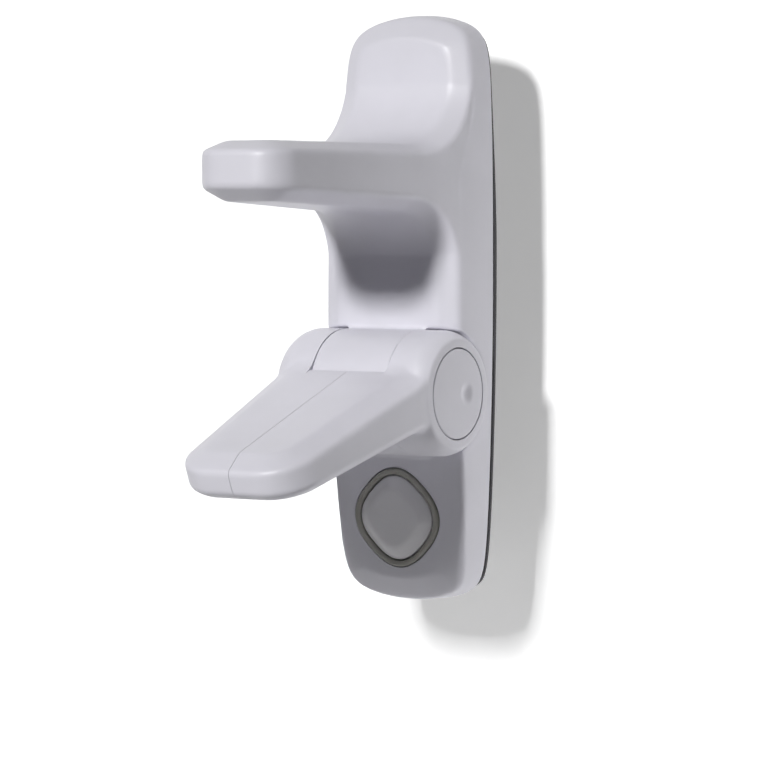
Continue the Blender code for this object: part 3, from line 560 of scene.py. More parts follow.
class Arm:
    """A bevelled arm with a rounded tip, in its own line: along, and up square to it."""

    def __init__(self, tip, corner, root, core_end, straight, root_half, tip_half, top, under, place,
                 width_limit):
        self.tip = tip
        self.corner = corner
        self.root = root
        self.core_end = core_end
        self.straight = straight
        self.root_half = root_half
        self.tip_half = tip_half
        self.top = top
        self.under = under
        self.place = place
        self.width_limit = width_limit

    def half(self, along):
        share = max(along - self.straight, 0) / (self.tip - self.straight)
        return self.root_half + (self.tip_half - self.root_half) * share

    def rings(self, inset):
        edges = [
            self.top.edge(self, inset, True),
            self.top.edge(self, inset, False),
            self.under.edge(self, inset, False),
            self.under.edge(self, inset, True),
        ]
        rings = []
        for row in zip(*edges):
            ring = [self.place @ Vector(point) for point in row]
            rings.append(ring if inset else soft_side(ring, [EDGE_SOFTNESS] * len(ring)))
        return rings


def side_draft(z):
    """How far the front's crease lies inside the back edge at a height on the body's side."""
    return SIDE_DRAFT + SIDE_DRAFT_SLOPE * z


def upper_arm():
    """The fixed arm, measured straight out from the door. Its bends end in the body's own bevel."""
    bend_start = MIDDLE_DEPTH + UNDER_BEND_RADIUS - BEND_DIP
    slope = UPPER_UNDER_RISE / (UPPER_REACH - bend_start)
    top = ArmFace(1, UPPER_TOP_Z, 0, ARM_BEVEL_WIDTH, TOP_BEVEL_DROP)
    top.bend(TOP_DEPTH + OVER_BEND_RADIUS - BEND_DIP, OVER_BEND_RADIUS, BEND_TURN,
             BEVEL_WIDTH - side_draft(UPPER_TOP_Z + OVER_BEND_RADIUS), BEVEL_DROP)
    under = ArmFace(-1, UPPER_UNDER_Z - slope * bend_start, slope, ARM_BEVEL_WIDTH,
                    UNDER_BEVEL_DROP)
    under.bend(bend_start, UNDER_BEND_RADIUS, BEND_TURN,
               BEVEL_WIDTH - side_draft(UPPER_UNDER_Z - UNDER_BEND_RADIUS), BEVEL_DROP)
    place = Matrix.Diagonal((1, -1, 1, 1))
    inside = TOP_DEPTH - 2 * WALL
    return Arm(UPPER_REACH, UPPER_CORNER, inside, inside, MIDDLE_DEPTH - TOP_BEVEL_DROP, UPPER_ROOT_HALF,
               UPPER_TIP_HALF, top, under, place, lambda up: half_width(up) - side_draft(up) - BEND_DIP / 4)


def arm_place():
    """Placement of the lower arm's own line: X, along the arm, up square to it."""
    along = Vector((0, -math.cos(ARM_DROOP), -math.sin(ARM_DROOP)))
    up = Vector((0, -math.sin(ARM_DROOP), math.cos(ARM_DROOP)))
    turn = Matrix(((1, 0, 0), along, up)).transposed()
    return Matrix.Translation(HINGE) @ turn.to_4x4()


ARM_PLACE = arm_place()


def lower_arm():
    """The hinged arm. Each face runs into the barrel in a bend that is tangent to both."""
    def bend_to_barrel(face, radius):
        level = abs(face.height(BARREL_RADIUS))
        start = math.sqrt((BARREL_RADIUS + radius) ** 2 - (level + radius) ** 2)
        turn = math.asin(start / (BARREL_RADIUS + radius))
        return face.bend(start, radius, turn, face.bevel_width, face.bevel_drop)

    top = bend_to_barrel(ArmFace(1, ARM_TOP, 0, ARM_BEVEL_WIDTH, TOP_BEVEL_DROP), ARM_TOP_BEND)
    under = bend_to_barrel(ArmFace(-1, -ARM_UNDER, ARM_UNDER_SLOPE, ARM_UNDER_BEVEL_WIDTH,
                                   ARM_UNDER_BEVEL_DROP), ARM_UNDER_BEND)
    return Arm(ARM_LENGTH, ARM_CORNER, 0, POCKET_RADIUS + WALL, ARM_STRAIGHT, ARM_ROOT_HALF, ARM_TIP_HALF,
               top, under, ARM_PLACE, lambda up: ARM_ROOT_HALF)


def hinge_side(side):
    """Placement on the hinge axis with its own Z towards one side."""
    return placed(HINGE, (side, 0, 0), (0, -1, 0))


BUTTON_PLACE = placed((0, -front_depth(BUTTON_Z), BUTTON_Z),
                      (0, -math.cos(BUTTON_TILT), -math.sin(BUTTON_TILT)))


def diamond(inset):
    """Outline of the ring, a square stood on a corner with bowed sides, moved inwards by an inset."""
    power = 2 / RING_SQUARENESS
    points = []
    for step in range(DIAMOND_STEPS):
        turn = 2 * math.pi * step / DIAMOND_STEPS
        across, up = math.cos(turn), math.sin(turn)
        p = math.copysign(abs(across) ** power, across) * RING_HALF_SIDE
        q = math.copysign(abs(up) ** power, up) * RING_HALF_SIDE
        points.append(Vector(((p - q) / math.sqrt(2), (p + q) / math.sqrt(2))))
    outline = []
    for k, point in enumerate(points):
        along = (points[(k + 1) % DIAMOND_STEPS] - points[k - 1]).normalized()
        outline.append((point.x - along.y * inset, point.y + along.x * inset))
    return outline


def diamond_loft(name, section, closed=False):
    """Piece with one section of (inset, height) points all round the diamond, or capped at its ends."""
    bm = bmesh.new()
    loops = []
    for inset, height in section:
        loops.append([bm.verts.new(BUTTON_PLACE @ Vector((x, y, height))) for x, y in diamond(inset)])
    pairs = list(zip(loops, loops[1:])) + ([(loops[-1], loops[0])] if closed else [])
    for one, two in pairs:
        for k in range(len(one)):
            n = (k + 1) % len(one)
            bm.faces.new((one[k], one[n], two[n], two[k]))
    if not closed:
        bm.faces.new(loops[0])
        bm.faces.new(loops[-1])
    return new_object(name, bm)


def rounded(corner, before, after, reach):
    """Points (inset, height) that round off one corner of a section."""
    flat = [(*point, 0) for point in (before, corner, after)]
    return [(point.x, point.y) for point in soften(*flat, reach)]


def door_slab(name, right, low, high):
    """Flat slab between two depths from the door, from the right half of its outline."""
    outline = right + [(-x, z) for x, z in reversed(right[1:-1])]
    return slab(name, outline, low, high, placed((0, 0, 0), (0, -1, 0)))


def ledge_corner(side):
    """Cutter that rounds the ledge over one knuckle where it meets the body's side."""
    profile = [(0, KNUCKLE_HALF + PAST), (POCKET_RADIUS + LEDGE_CORNER, KNUCKLE_HALF + PAST)]
    for step in range(LEDGE_STEPS + 1):
        turn = math.pi / 2 * step / LEDGE_STEPS
        profile.append((POCKET_RADIUS + LEDGE_CORNER * (1 - math.sin(turn)),
                        LEDGE_CORNER_X + LEDGE_CORNER * math.cos(turn)))
    profile += [(POCKET_RADIUS - PAST, LEDGE_CORNER_X), (0, LEDGE_CORNER_X)]
    flare = turned("ledge_corner", profile, hinge_side(side))
    far = 2 * BARREL_RADIUS
    return cut(flare, block((-far, HINGE.y + LEDGE_CORNER, HINGE.z - far), (far, far, HINGE.z + far)))


def plate_screw_places():
    """Placements of the four plate screws, own Z towards the door."""
    return [placed((side * x, -BACK_DEPTH, z), (0, 1, 0)) for x, z in PLATE_SCREWS for side in (-1, 1)]


def latch_screw_place():
    """Placement of the strip's screw, own Z towards the door."""
    return placed(LATCH_SCREW, (0, 1, 0))


def make_pad():
    """Foam pad almost flush with the body's back edge, drawn in round the ends."""
    right = []
    for (x, z), (inner_x, inner_z) in zip(body_outline(PAD_INSET), body_outline(PAD_END_INSET)):
        past = max((z - PAD_TOP_SHOULDER) / PAD_TOP_REACH, (PAD_LOW_SHOULDER - z) / PAD_LOW_REACH)
        share = min(max(past, 0), 1)
        share *= share * (3 - 2 * share)
        right.append((x + (inner_x - x) * share, z + (inner_z - z) * share))
    return door_slab("foam_pad", right, 0, PAD_THICKNESS)


def add_boss(housing, place, root, top, screw_length):
    """Boss between two depths below a placement, with the hole for its screw."""
    join(housing, rod(BOSS_RADIUS, -root, -top, place, BOSS_STEPS))
    cut(housing, rod(SCREW_RADIUS + FIT / 2, -screw_length - FIT, PAST, place, HOLE_STEPS))


def make_housing():
    """Body, upper arm and centre knuckle in one smooth moulding, hollow behind."""
    housing = mirrored_loft("moulded_housing", body_rings(0))
    arm = upper_arm()
    middle = hinge_side(1)
    long = CENTRE_HALF + WALL
    join(housing, mirrored_loft("arm", arm.rings(0)), rod(BARREL_RADIUS, -long, long, middle))
    join(housing, slab("skirt", SKIRT_OUTLINE, -CENTRE_HALF, CENTRE_HALF, middle))
    for side in (-1, 1):
        pocket = rod(POCKET_RADIUS, CENTRE_HALF, KNUCKLE_HALF + PAST, hinge_side(side))
        cut(housing, pocket, ledge_corner(side))
    moulded(housing, HOUSING_VOXEL)
    far = 2 * TOP_END
    cut(housing, block((-far, -BACK_DEPTH, -far), (far, far, far)))
    cavity = mirrored_loft("cavity", body_rings(WALL))
    cut(cavity, rod(POCKET_RADIUS + POCKET_WALL, -KNUCKLE_HALF, KNUCKLE_HALF, middle))
    seat = door_slab("seat", body_outline(WALL), -PAST, SEAT_DEPTH)
    cut(housing, cavity, mirrored_loft("core", arm.rings(WALL)), seat)
    for place in plate_screw_places():
        root = front_depth(place.translation.z) - BACK_DEPTH - WALL + BOSS_ROOT
        add_boss(housing, place, root, SEAT_DEPTH - BACK_DEPTH, PLATE_SCREW_LENGTH)
    root = front_depth(LATCH_SCREW.z) + LATCH_SCREW.y - WALL + BOSS_ROOT
    add_boss(housing, latch_screw_place(), root, LATCH_BOSS_GAP, LATCH_SCREW_LENGTH)
    cut(housing, diamond_loft("seat", [(-RING_GAP, -RING_SEAT), (-RING_GAP, PAST)]))
    cut(housing, diamond_loft("hole", [(RING_BAND, -WALL - PAST), (RING_BAND, PAST)]))
    cut(housing, rod(DRUM_BORE, -CENTRE_HALF - PAST, CENTRE_HALF + PAST, middle))
    cut(housing, block((-LATCH_WINDOW_HALF, LATCH_WINDOW_FRONT, LATCH_WINDOW_LOW),
                       (LATCH_WINDOW_HALF, LATCH_WINDOW_BACK, HINGE.z)))
    return smooth_faces(housing)


def knuckle_profile():
    """Half profile of the arm's barrel from its middle, drawn in gently towards its end."""
    profile = [(0, KNUCKLE_HALF)]
    for step in range(CROWN_STEPS + 1):
        out = 1 - step / CROWN_STEPS
        radius = BARREL_RADIUS - KNUCKLE_CROWN_DROP * out ** 2
        profile.append((radius, KNUCKLE_HALF - KNUCKLE_CROWN * (1 - out)))
    return profile


def make_whole_arm():
    """Both halves of the lower arm as one smooth form."""
    arm = mirrored_loft("whole_arm", lower_arm().rings(0))
    profile = knuckle_profile()
    profile += [(radius, -height) for radius, height in reversed(profile)]
    join(arm, turned("barrel", profile, hinge_side(1)))
    return moulded(arm, ARM_VOXEL)


def arm_screw_place(along):
    """Placement in the left wall of the arm, own Z out of the screw's head."""
    return placed(ARM_PLACE @ Vector((ARM_SCREW_SEAT_X, along, ARM_SCREW_UP)), (-1, 0, 0), (0, 0, 1))


def make_arm_half(name, side, whole):
    """One half of the lower arm, cut from the whole along the seam."""
    half = bpy.data.objects.new(name, whole.data.copy())
    bpy.context.scene.collection.objects.link(half)
    far = 2 * KNUCKLE_HALF
    ends = sorted((side * SEAM_GAP, -side * far))
    cut(half, block((ends[0], -far, -far), (ends[1], 2 * ARM_LENGTH, far), ARM_PLACE))
    cut(half, rod(POCKET_RADIUS, -KNUCKLE_INNER, KNUCKLE_INNER, hinge_side(1)))
    cut(half, block((-KNUCKLE_INNER, -BARREL_RADIUS, ARM_TOP),
                    (KNUCKLE_INNER, BARREL_RADIUS + ARM_TOP_BEND, far), ARM_PLACE))
    core = mirrored_loft("core", lower_arm().rings(WALL))
    for along in ARM_SCREW_ALONG:
        cut(core, rod(ARM_BOSS_RADIUS, -far, far, arm_screw_place(along), HOLE_STEPS))
    cut(half, core)
    place = hinge_side(side)
    cut(half, rod(CAP_SEAT_RADIUS, KNUCKLE_HALF - CAP_SEAT, KNUCKLE_HALF + PAST, place))
    cut(half, rod(BOLT_BORE, KNUCKLE_INNER - PAST, KNUCKLE_HALF, place, PIN_STEPS))
    ends = sorted((side * (KNUCKLE_INNER - PAST), side * (KNUCKLE_INNER + KEY_DEPTH)))
    cut(half, block((ends[0], -KEY_HALF_LENGTH, -KEY_HALF_WIDTH),
                    (ends[1], KEY_HALF_LENGTH, KEY_HALF_WIDTH), ARM_PLACE))
    if side < 0:
        for along in ARM_SCREW_ALONG:
            cut(half, rod(ARM_SCREW_WELL, -FIT, far, arm_screw_place(along), BOSS_STEPS))
    return smooth_faces(half)


def make_cap(name, side):
    """Round cap with a soft edge, and a shallow dimple on the side towards the door."""
    top = KNUCKLE_HALF + CAP_PROUD
    profile = [((CAP_RADIUS - CAP_EDGE) * ring / CAP_RINGS, top) for ring in range(CAP_RINGS + 1)]
    for step in range(1, CAP_EDGE_STEPS + 1):
        turn = math.pi / 2 * step / CAP_EDGE_STEPS
        profile.append((CAP_RADIUS - CAP_EDGE * (1 - math.sin(turn)), top - CAP_EDGE * (1 - math.cos(turn))))
    profile += [(CAP_RADIUS, CAP_BACK), (0, CAP_BACK)]
    cap = turned(name, profile, hinge_side(side))
    middle = HINGE + Vector((side * top, DIMPLE_OFFSET, 0))
    for vertex in cap.data.vertices:
        away = (vertex.co - middle).length / DIMPLE_RADIUS
        if away < 1:
            vertex.co.x -= side * DIMPLE_DEPTH * (1 + math.cos(math.pi * away)) / 2
    return smooth_faces(cap)


def make_ring():
    """Rounded ring in its seat around the button."""
    low = FIT - RING_SEAT
    outer, inner = 0, RING_BAND
    section = [(outer, low)]
    section += rounded((outer, RING_PROUD), (outer, low), (inner, RING_PROUD), RING_EDGE)
    section += rounded((inner, RING_PROUD), (outer, RING_PROUD), (inner, low), RING_EDGE)
    section.append((inner, low))
    return smooth_faces(diamond_loft("button_ring", section, closed=True))


def make_button():
    """Flat cap with a wide chamfer, a flange that keeps it in, and a plunger that meets the latch strip."""
    under = -WALL - FIT
    low = under - FLANGE_THICKNESS
    rim = RING_BAND + FIT
    flat = (rim + BUTTON_CHAMFER, BUTTON_PROUD)
    edge = (rim, BUTTON_PROUD - BUTTON_CHAMFER_DROP)
    section = [(rim + 2 * BUTTON_CHAMFER, BUTTON_PROUD)]
    section += rounded(flat, section[0], edge, BUTTON_CHAMFER_SOFTNESS)
    section += rounded(edge, flat, (rim, low), BUTTON_EDGE)
    section.append((rim, low))
    cap = diamond_loft("push_button", section)
    reach = RING_BAND - BUTTON_FLANGE
    join(cap, diamond_loft("flange", [(reach, low - FLANGE_PAST), (reach, under)]))
    join(cap, rod(PLUNGER_RADIUS, PLUNGER_END, under, BUTTON_PLACE, PIN_STEPS))
    return smooth_faces(cap)


class Nodes:
    """A node tree that is filled by calls."""

    def __init__(self, tree):
        self.tree = tree

    def feed(self, socket, value):
        """Link a socket to another one, or set its value."""
        if isinstance(value, bpy.types.NodeSocket):
            self.tree.links.new(value, socket)
        else:
            socket.default_value = value

    def fill(self, node, **values):
        """Feed a node's inputs by their names. An underscore stands for a space."""
        for name, value in values.items():
            self.feed(node.inputs[name.replace("_", " ")], value)
        return node

    def add(self, kind, **values):
        """New node with some of its inputs fed."""
        return self.fill(self.tree.nodes.new(kind), **values)

    def maths(self, operation, first, second=0.0):
        """Result of one operation on two numbers."""
        made = self.tree.nodes.new("ShaderNodeMath")
        made.operation = operation
        self.feed(made.inputs[0], first)
        self.feed(made.inputs[1], second)
        return made.outputs[0]


def screw_tree():
    """Geometry Nodes: a screw with a helical thread and a cross recess at every point of a mesh."""
    tree = bpy.data.node_groups.new("cross_head_screws", "GeometryNodeTree")
    tree.interface.new_socket("Places", in_out="INPUT", socket_type="NodeSocketGeometry")
    for size in ("Head Low Radius", "Head Top Radius", "Head Height", "Head Base",
                 "Shank Radius", "Shank Length", "Thread Pitch", "Thread Depth", "Tip Length",
                 "Recess Span", "Recess Width", "Recess Depth"):
        tree.interface.new_socket(size, in_out="INPUT", socket_type="NodeSocketFloat")
    tree.interface.new_socket("Finish", in_out="INPUT", socket_type="NodeSocketMaterial")
    tree.interface.new_socket("Screws", in_out="OUTPUT", socket_type="NodeSocketGeometry")
    given = tree.nodes.new("NodeGroupInput").outputs
    link = tree.links.new
    nodes = Nodes(tree)
    node, maths = nodes.add, nodes.maths

    def moved(mesh, height):
        offset = node("ShaderNodeCombineXYZ", Z=height)
        return node("GeometryNodeTransform", Geometry=mesh, Translation=offset.outputs[0]).outputs[0]

    def combined(operation, first, *others):
        made = tree.nodes.new("GeometryNodeMeshBoolean")
        made.operation = operation
        made.solver = "EXACT"
        ports = [port for port in made.inputs if port.enabled and port.type == "GEOMETRY"]
        if operation == "UNION":
            others = (first, *others)
        else:
            link(first, ports[0])
        for other in others:
            link(other, ports[-1])
        return made.outputs[0]

    head = node("GeometryNodeMeshCone", Vertices=HEAD_SIDES, Radius_Top=given["Head Top Radius"],
                Radius_Bottom=given["Head Low Radius"], Depth=given["Head Height"])
    head = moved(head.outputs["Mesh"], given["Head Base"])
    turns = maths("DIVIDE", given["Shank Length"], given["Thread Pitch"])
    shank = node("GeometryNodeMeshCylinder", Vertices=SHANK_SIDES,
                 Side_Segments=maths("MULTIPLY", turns, RINGS_PER_TURN),
                 Radius=given["Shank Radius"], Depth=given["Shank Length"])
    here = node("ShaderNodeSeparateXYZ", Vector=tree.nodes.new("GeometryNodeInputPosition").outputs[0])
    across, along, up = here.outputs
    round_turn = maths("DIVIDE", maths("ARCTAN2", along, across), 2 * math.pi)
    wave = maths("FRACT", maths("SUBTRACT", maths("DIVIDE", up, given["Thread Pitch"]), round_turn))
    groove = maths("MULTIPLY", maths("ABSOLUTE", maths("SUBTRACT", wave, 0.5)), 2.0)
    depth = maths("DIVIDE", given["Thread Depth"], given["Shank Radius"])
    above_tip = maths("ADD", up, maths("MULTIPLY", given["Shank Length"], 0.5))
    tip = maths("MINIMUM", maths("ADD", maths("DIVIDE", above_tip, given["Tip Length"]), TIP_NARROW), 1.0)
    draw_in = maths("MULTIPLY", tip, maths("SUBTRACT", 1.0, maths("MULTIPLY", depth, groove)))
    place = node("ShaderNodeCombineXYZ", X=maths("MULTIPLY", across, draw_in),
                 Y=maths("MULTIPLY", along, draw_in), Z=up)
    thread = node("GeometryNodeSetPosition", Geometry=shank.outputs["Mesh"], Position=place.outputs[0])
    lowered = maths("SUBTRACT", given["Head Base"], maths("MULTIPLY", given["Shank Length"], 0.5))
    lowered = maths("ADD", lowered, maths("MULTIPLY", given["Head Height"], HEAD_OVERLAP))
    screw = combined("UNION", head, moved(thread.outputs[0], lowered))
    head_top = maths("ADD", given["Head Base"], given["Head Height"])
    deep = maths("MULTIPLY", given["Recess Depth"], 2.0)
    for wide, long in (("Recess Span", "Recess Width"), ("Recess Width", "Recess Span")):
        size = node("ShaderNodeCombineXYZ", X=given[wide], Y=given[long], Z=deep)
        slot = node("GeometryNodeMeshCube", Size=size.outputs[0])
        screw = combined("DIFFERENCE", screw, moved(slot.outputs["Mesh"], head_top))
    turn = node("GeometryNodeInputNamedAttribute", Name="turn")
    turn.data_type = "QUATERNION"
    facing = next(port for port in turn.outputs if port.enabled and port.type == "ROTATION")
    spread = node("GeometryNodeInstanceOnPoints", Points=given["Places"], Instance=screw, Rotation=facing)
    real = node("GeometryNodeRealizeInstances", Geometry=spread.outputs[0])
    done = node("GeometryNodeSetMaterial", Geometry=real.outputs[0], Material=given["Finish"])
    link(done.outputs[0], tree.nodes.new("NodeGroupOutput").inputs[0])
    return tree


def make_screws(name, tree, places, finish, sizes):
    """Screws at a list of placements as one plain mesh."""
    mesh = bpy.data.meshes.new(name + "_places")
    mesh.from_pydata([place.translation for place in places], [], [])
    turns = mesh.attributes.new("turn", "QUATERNION", "POINT")
    for item, place in zip(turns.data, places):
        item.value = place.to_quaternion()
    screws = bpy.data.objects.new(name, mesh)
    nodes = screws.modifiers.new("screws", "NODES")
    nodes.node_group = tree
    for item in tree.interface.items_tree:
        if item.in_out == "INPUT" and item.name in sizes:
            nodes[item.identifier] = sizes[item.name]
        elif item.name == "Finish":
            nodes[item.identifier] = finish
    bpy.context.scene.collection.objects.link(screws)
    return smooth_faces(settle(screws), SCREW_CREASE_ANGLE)


def screw_sizes(length, countersunk):
    """Sizes of a pan head screw, or of a countersunk one sunk just below its placement."""
    height = SCREW_HEAD_HEIGHT
    return {
        "Head Low Radius": SCREW_RADIUS if countersunk else SCREW_HEAD_RADIUS,
        "Head Top Radius": SCREW_HEAD_RADIUS * (1 if countersunk else PAN_HEAD_TOP),
        "Head Height": height,
        "Head Base": -height - FIT / 2 if countersunk else 0.0,
        "Shank Radius": SCREW_RADIUS,
        "Shank Length": length - (height if countersunk else 0),
        "Thread Pitch": THREAD_PITCH,
        "Thread Depth": THREAD_DEPTH,
        "Tip Length": SCREW_TIP,
        "Recess Span": RECESS_SPAN,
        "Recess Width": RECESS_WIDTH,
        "Recess Depth": RECESS_DEPTH,
    }


def new_finish(name):
    """Material, and its nodes."""
    finish = bpy.data.materials.new(name)
    finish.use_nodes = True
    return finish, Nodes(finish.node_tree)


def plastic(name, colour, roughness, grain):
    """Moulded plastic: faint mottle, a fine mould grain and slight changes of gloss."""
    finish, nodes = new_finish(name)
    place = nodes.add("ShaderNodeTexCoord").outputs["Object"]
    mottle = nodes.add("ShaderNodeTexNoise", Vector=place, Scale=MOTTLE_SCALE, Detail=MOTTLE_DETAIL)
    tint = nodes.add("ShaderNodeValToRGB", Fac=mottle.outputs["Fac"])
    for stop, position, share in zip(tint.color_ramp.elements, MOTTLE_SPAN, MOTTLE_TINT):
        stop.position = position
        stop.color = (*[c * share for c in colour], 1)
    gloss = nodes.add("ShaderNodeMapRange", Value=mottle.outputs["Fac"],
                      To_Min=roughness * MOTTLE_GLOSS[0], To_Max=roughness * MOTTLE_GLOSS[1])
    fine = nodes.add("ShaderNodeTexNoise", Vector=place, Scale=GRAIN_SCALE, Detail=GRAIN_DETAIL)
    bump = nodes.add("ShaderNodeBump", Strength=grain, Distance=GRAIN_HEIGHT, Height=fine.outputs["Fac"])
    nodes.fill(nodes.tree.nodes["Principled BSDF"], Base_Color=tint.outputs["Color"],
               Roughness=gloss.outputs["Result"], Normal=bump.outputs["Normal"])
    return finish


def metal(name, colour, roughness):
    """Plated steel with fine drawn lines."""
    finish, nodes = new_finish(name)
    place = nodes.add("ShaderNodeTexCoord").outputs["Object"]
    stretch = nodes.add("ShaderNodeMapping", Vector=place, Scale=DRAWN_LINES)
    lines = nodes.add("ShaderNodeTexNoise", Vector=stretch.outputs["Vector"], Scale=1)
    tint = nodes.add("ShaderNodeValToRGB", Fac=lines.outputs["Fac"])
    for stop, share in zip(tint.color_ramp.elements, DRAWN_TINT):
        stop.color = (*[c * share for c in colour], 1)
    gloss = nodes.add("ShaderNodeMapRange", Value=lines.outputs["Fac"],
                      To_Min=roughness * DRAWN_GLOSS[0], To_Max=roughness * DRAWN_GLOSS[1])
    nodes.fill(nodes.tree.nodes["Principled BSDF"], Base_Color=tint.outputs["Color"],
               Roughness=gloss.outputs["Result"], Metallic=1)
    return finish


def paint(piece, finish):
    """One finish all over a piece."""
    piece.data.materials.clear()
    piece.data.materials.append(finish)


def hang(piece, body, slot, *nodes):
    """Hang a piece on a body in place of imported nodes."""
    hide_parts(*nodes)
    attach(piece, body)


def dress(piece, finish, node, body, slot):
    """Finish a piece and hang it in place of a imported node."""
    paint(piece, finish)
    hang(piece, body, slot, node)


def make_lock():
    """Every piece of the lock, finished and hung on its body."""
    white = plastic("white_housing", WHITE, roughness=0.42, grain=0.08)
    arm_white = plastic("white_arm", WHITE, roughness=0.42, grain=0.08)
    ring_grey = plastic("ring_grey", WARM_GREY, roughness=0.45, grain=0.2)
    button_grey = plastic("button_grey", BUTTON_GREY, roughness=0.35, grain=0.1)
    foam = plastic("foam_tape", FOAM_BLACK, roughness=0.85, grain=0.6)
    plate = plastic("plate_grey", PLATE_GREY, roughness=0.5, grain=0.3)
    drum = plastic("drum_white", DRUM_WHITE, roughness=0.4, grain=0.1)
    steel = metal("plated_steel", PLATED_STEEL, roughness=0.3)
    strip = metal("strip_steel", STRIP_STEEL, roughness=0.25)
    dress(make_housing(), white, "front_housing", "base", "housing_white")
    whole = make_whole_arm()
    for name, side, node in (("arm_left", -1, "arm_left_half"), ("arm_right", 1, "arm_right_half")):
        dress(make_arm_half(name, side, whole), arm_white, node, "arm", "arm_white")
    bpy.data.objects.remove(whole, do_unlink=True)
    for name, side, node in (("cap_left", -1, "pivot_cap_left"), ("cap_right", 1, "pivot_cap_right")):
        dress(make_cap(name, side), arm_white, node, "arm", "arm_white")
    dress(make_ring(), ring_grey, "button_bezel", "base", "warm_grey")
    dress(make_button(), button_grey, "button", "button", "button_grey")
    tree = screw_tree()
    plate_screws = make_screws("plate_screws", tree, plate_screw_places(), steel,
                               screw_sizes(PLATE_SCREW_LENGTH, True))
    hang(plate_screws, "base", "zinc_steel", *[f"plate_screw_{number}" for number in range(1, 5)])
    strip_screw = make_screws("strip_screw", tree, [latch_screw_place()], steel,
                              screw_sizes(LATCH_SCREW_LENGTH, False))
    hang(strip_screw, "base", "zinc_steel", "latch_screw")
    places = [arm_screw_place(along) for along in ARM_SCREW_ALONG]
    arm_screws = make_screws("arm_screws", tree, places, steel, screw_sizes(ARM_SCREW_LENGTH, False))
    hang(arm_screws, "arm", "zinc_steel", "arm_screw_1", "arm_screw_2")
    dress(make_pad(), foam, "adhesive_pad", "base", "foam")
    for node, finish in (("pivot_bolt", steel), ("pivot_nut", steel), ("latch_spring", strip),
                         ("back_plate", plate), ("lock_drum", drum)):
        paint(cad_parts[node], finish)


def plain_sheet(name, corners):
    """Flat sheet through four corners."""
    mesh = bpy.data.meshes.new(name)
    mesh.from_pydata(corners, [], [(0, 1, 2, 3)])
    sheet = bpy.data.objects.new(name, mesh)
    bpy.context.scene.collection.objects.link(sheet)
    return sheet


def one_sided(name, colour, glow, seen_glow):
    """Matt white that shows from its front only, with one glow for the lock and one for the camera."""
    finish, nodes = new_finish(name)
    nodes.tree.nodes.clear()
    face = nodes.add("ShaderNodeBsdfDiffuse", Color=(colour, colour, colour, 1))
    seen = nodes.add("ShaderNodeLightPath").outputs["Is Camera Ray"]
    level = nodes.add("ShaderNodeMapRange", Value=seen, To_Min=glow, To_Max=seen_glow)
    shine = nodes.add("ShaderNodeEmission", Strength=level.outputs["Result"])
    front = nodes.add("ShaderNodeAddShader")
    nodes.feed(front.inputs[0], face.outputs["BSDF"])
    nodes.feed(front.inputs[1], shine.outputs["Emission"])
    clear = nodes.add("ShaderNodeBsdfTransparent")
    pick = nodes.add("ShaderNodeMixShader", Fac=nodes.add("ShaderNodeNewGeometry").outputs["Backfacing"])
    nodes.feed(pick.inputs[1], front.outputs["Shader"])
    nodes.feed(pick.inputs[2], clear.outputs["BSDF"])
    nodes.add("ShaderNodeOutputMaterial", Surface=pick.outputs["Shader"])
    return finish


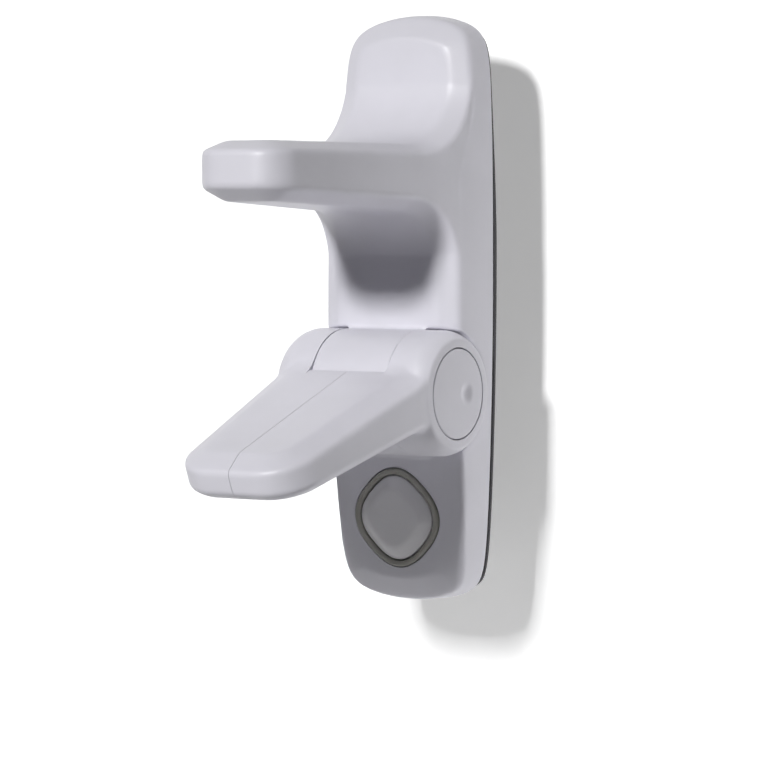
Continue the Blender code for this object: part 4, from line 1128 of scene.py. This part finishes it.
def make_stage():
    """White backdrop a little way behind the lock, and a pale floor below."""
    wide = STAGE_HALF_WIDTH
    drop = plain_sheet("backdrop", [(-wide, BACKDROP_Y, FLOOR_Z), (wide, BACKDROP_Y, FLOOR_Z),
                                    (wide, BACKDROP_Y, BACKDROP_TOP), (-wide, BACKDROP_Y, BACKDROP_TOP)])
    paint(drop, one_sided("backdrop_white", BACKDROP_WHITE, BACKDROP_GLOW, BACKDROP_GLOW))
    floor = plain_sheet("floor", [(-wide, FLOOR_NEAR_Y, FLOOR_Z), (wide, FLOOR_NEAR_Y, FLOOR_Z),
                                  (wide, BACKDROP_Y, FLOOR_Z), (-wide, BACKDROP_Y, FLOOR_Z)])
    paint(floor, one_sided("floor_pale", FLOOR_PALE, FLOOR_GLOW, FLOOR_SEEN_GLOW))


def make_key():
    """Soft square lamp in front of the lock and a little above it."""
    light = bpy.data.lights.new("key", "AREA")
    light.size = KEY_SIZE
    light.energy = KEY_WATTS
    key = bpy.data.objects.new("key", light)
    toward = Vector(KEY_TOWARD).normalized()
    key.location = Vector(KEY_AIM) + toward * KEY_DISTANCE
    key.rotation_euler = toward.to_track_quat("Z", "Y").to_euler()
    bpy.context.scene.collection.objects.link(key)


def make_world():
    """A weak even light all round the lock, and white past the backdrop."""
    world = bpy.data.worlds.new("studio")
    world.use_nodes = True
    nodes = Nodes(world.node_tree)
    ray = nodes.add("ShaderNodeLightPath").outputs
    where = nodes.add("ShaderNodeSeparateXYZ", Vector=nodes.add("ShaderNodeTexCoord").outputs["Generated"])
    behind = nodes.add("ShaderNodeMapRange", Value=where.outputs["Y"],
                       From_Min=-BEHIND_BLEND, From_Max=BEHIND_BLEND)
    mirrored = nodes.maths("MULTIPLY", ray["Is Glossy Ray"], behind.outputs["Result"])
    direct = nodes.maths("MAXIMUM", ray["Is Camera Ray"], ray["Is Transmission Ray"])
    level = nodes.add("ShaderNodeMapRange", Value=nodes.maths("MAXIMUM", direct, mirrored),
                      To_Min=WORLD_LIGHT, To_Max=WORLD_WHITE)
    nodes.fill(world.node_tree.nodes["Background"], Color=(1, 1, 1, 1), Strength=level.outputs["Result"])
    bpy.context.scene.world = world
    bpy.context.scene.view_settings.view_transform = "Standard"


def make_camera():
    """Long lens from the right and a little above."""
    view = bpy.data.cameras.new("camera")
    view.sensor_width = SENSOR_WIDTH
    view.lens = CAMERA_LENS
    view.clip_start = NEAR_CLIP
    camera = bpy.data.objects.new("camera", view)
    camera.location = CAMERA_PLACE
    camera.rotation_euler = Vector(CAMERA_LOOK).to_track_quat("-Z", "Y").to_euler()
    bpy.context.scene.collection.objects.link(camera)
    bpy.context.scene.camera = camera


make_lock()
make_stage()
make_key()
make_world()
make_camera()
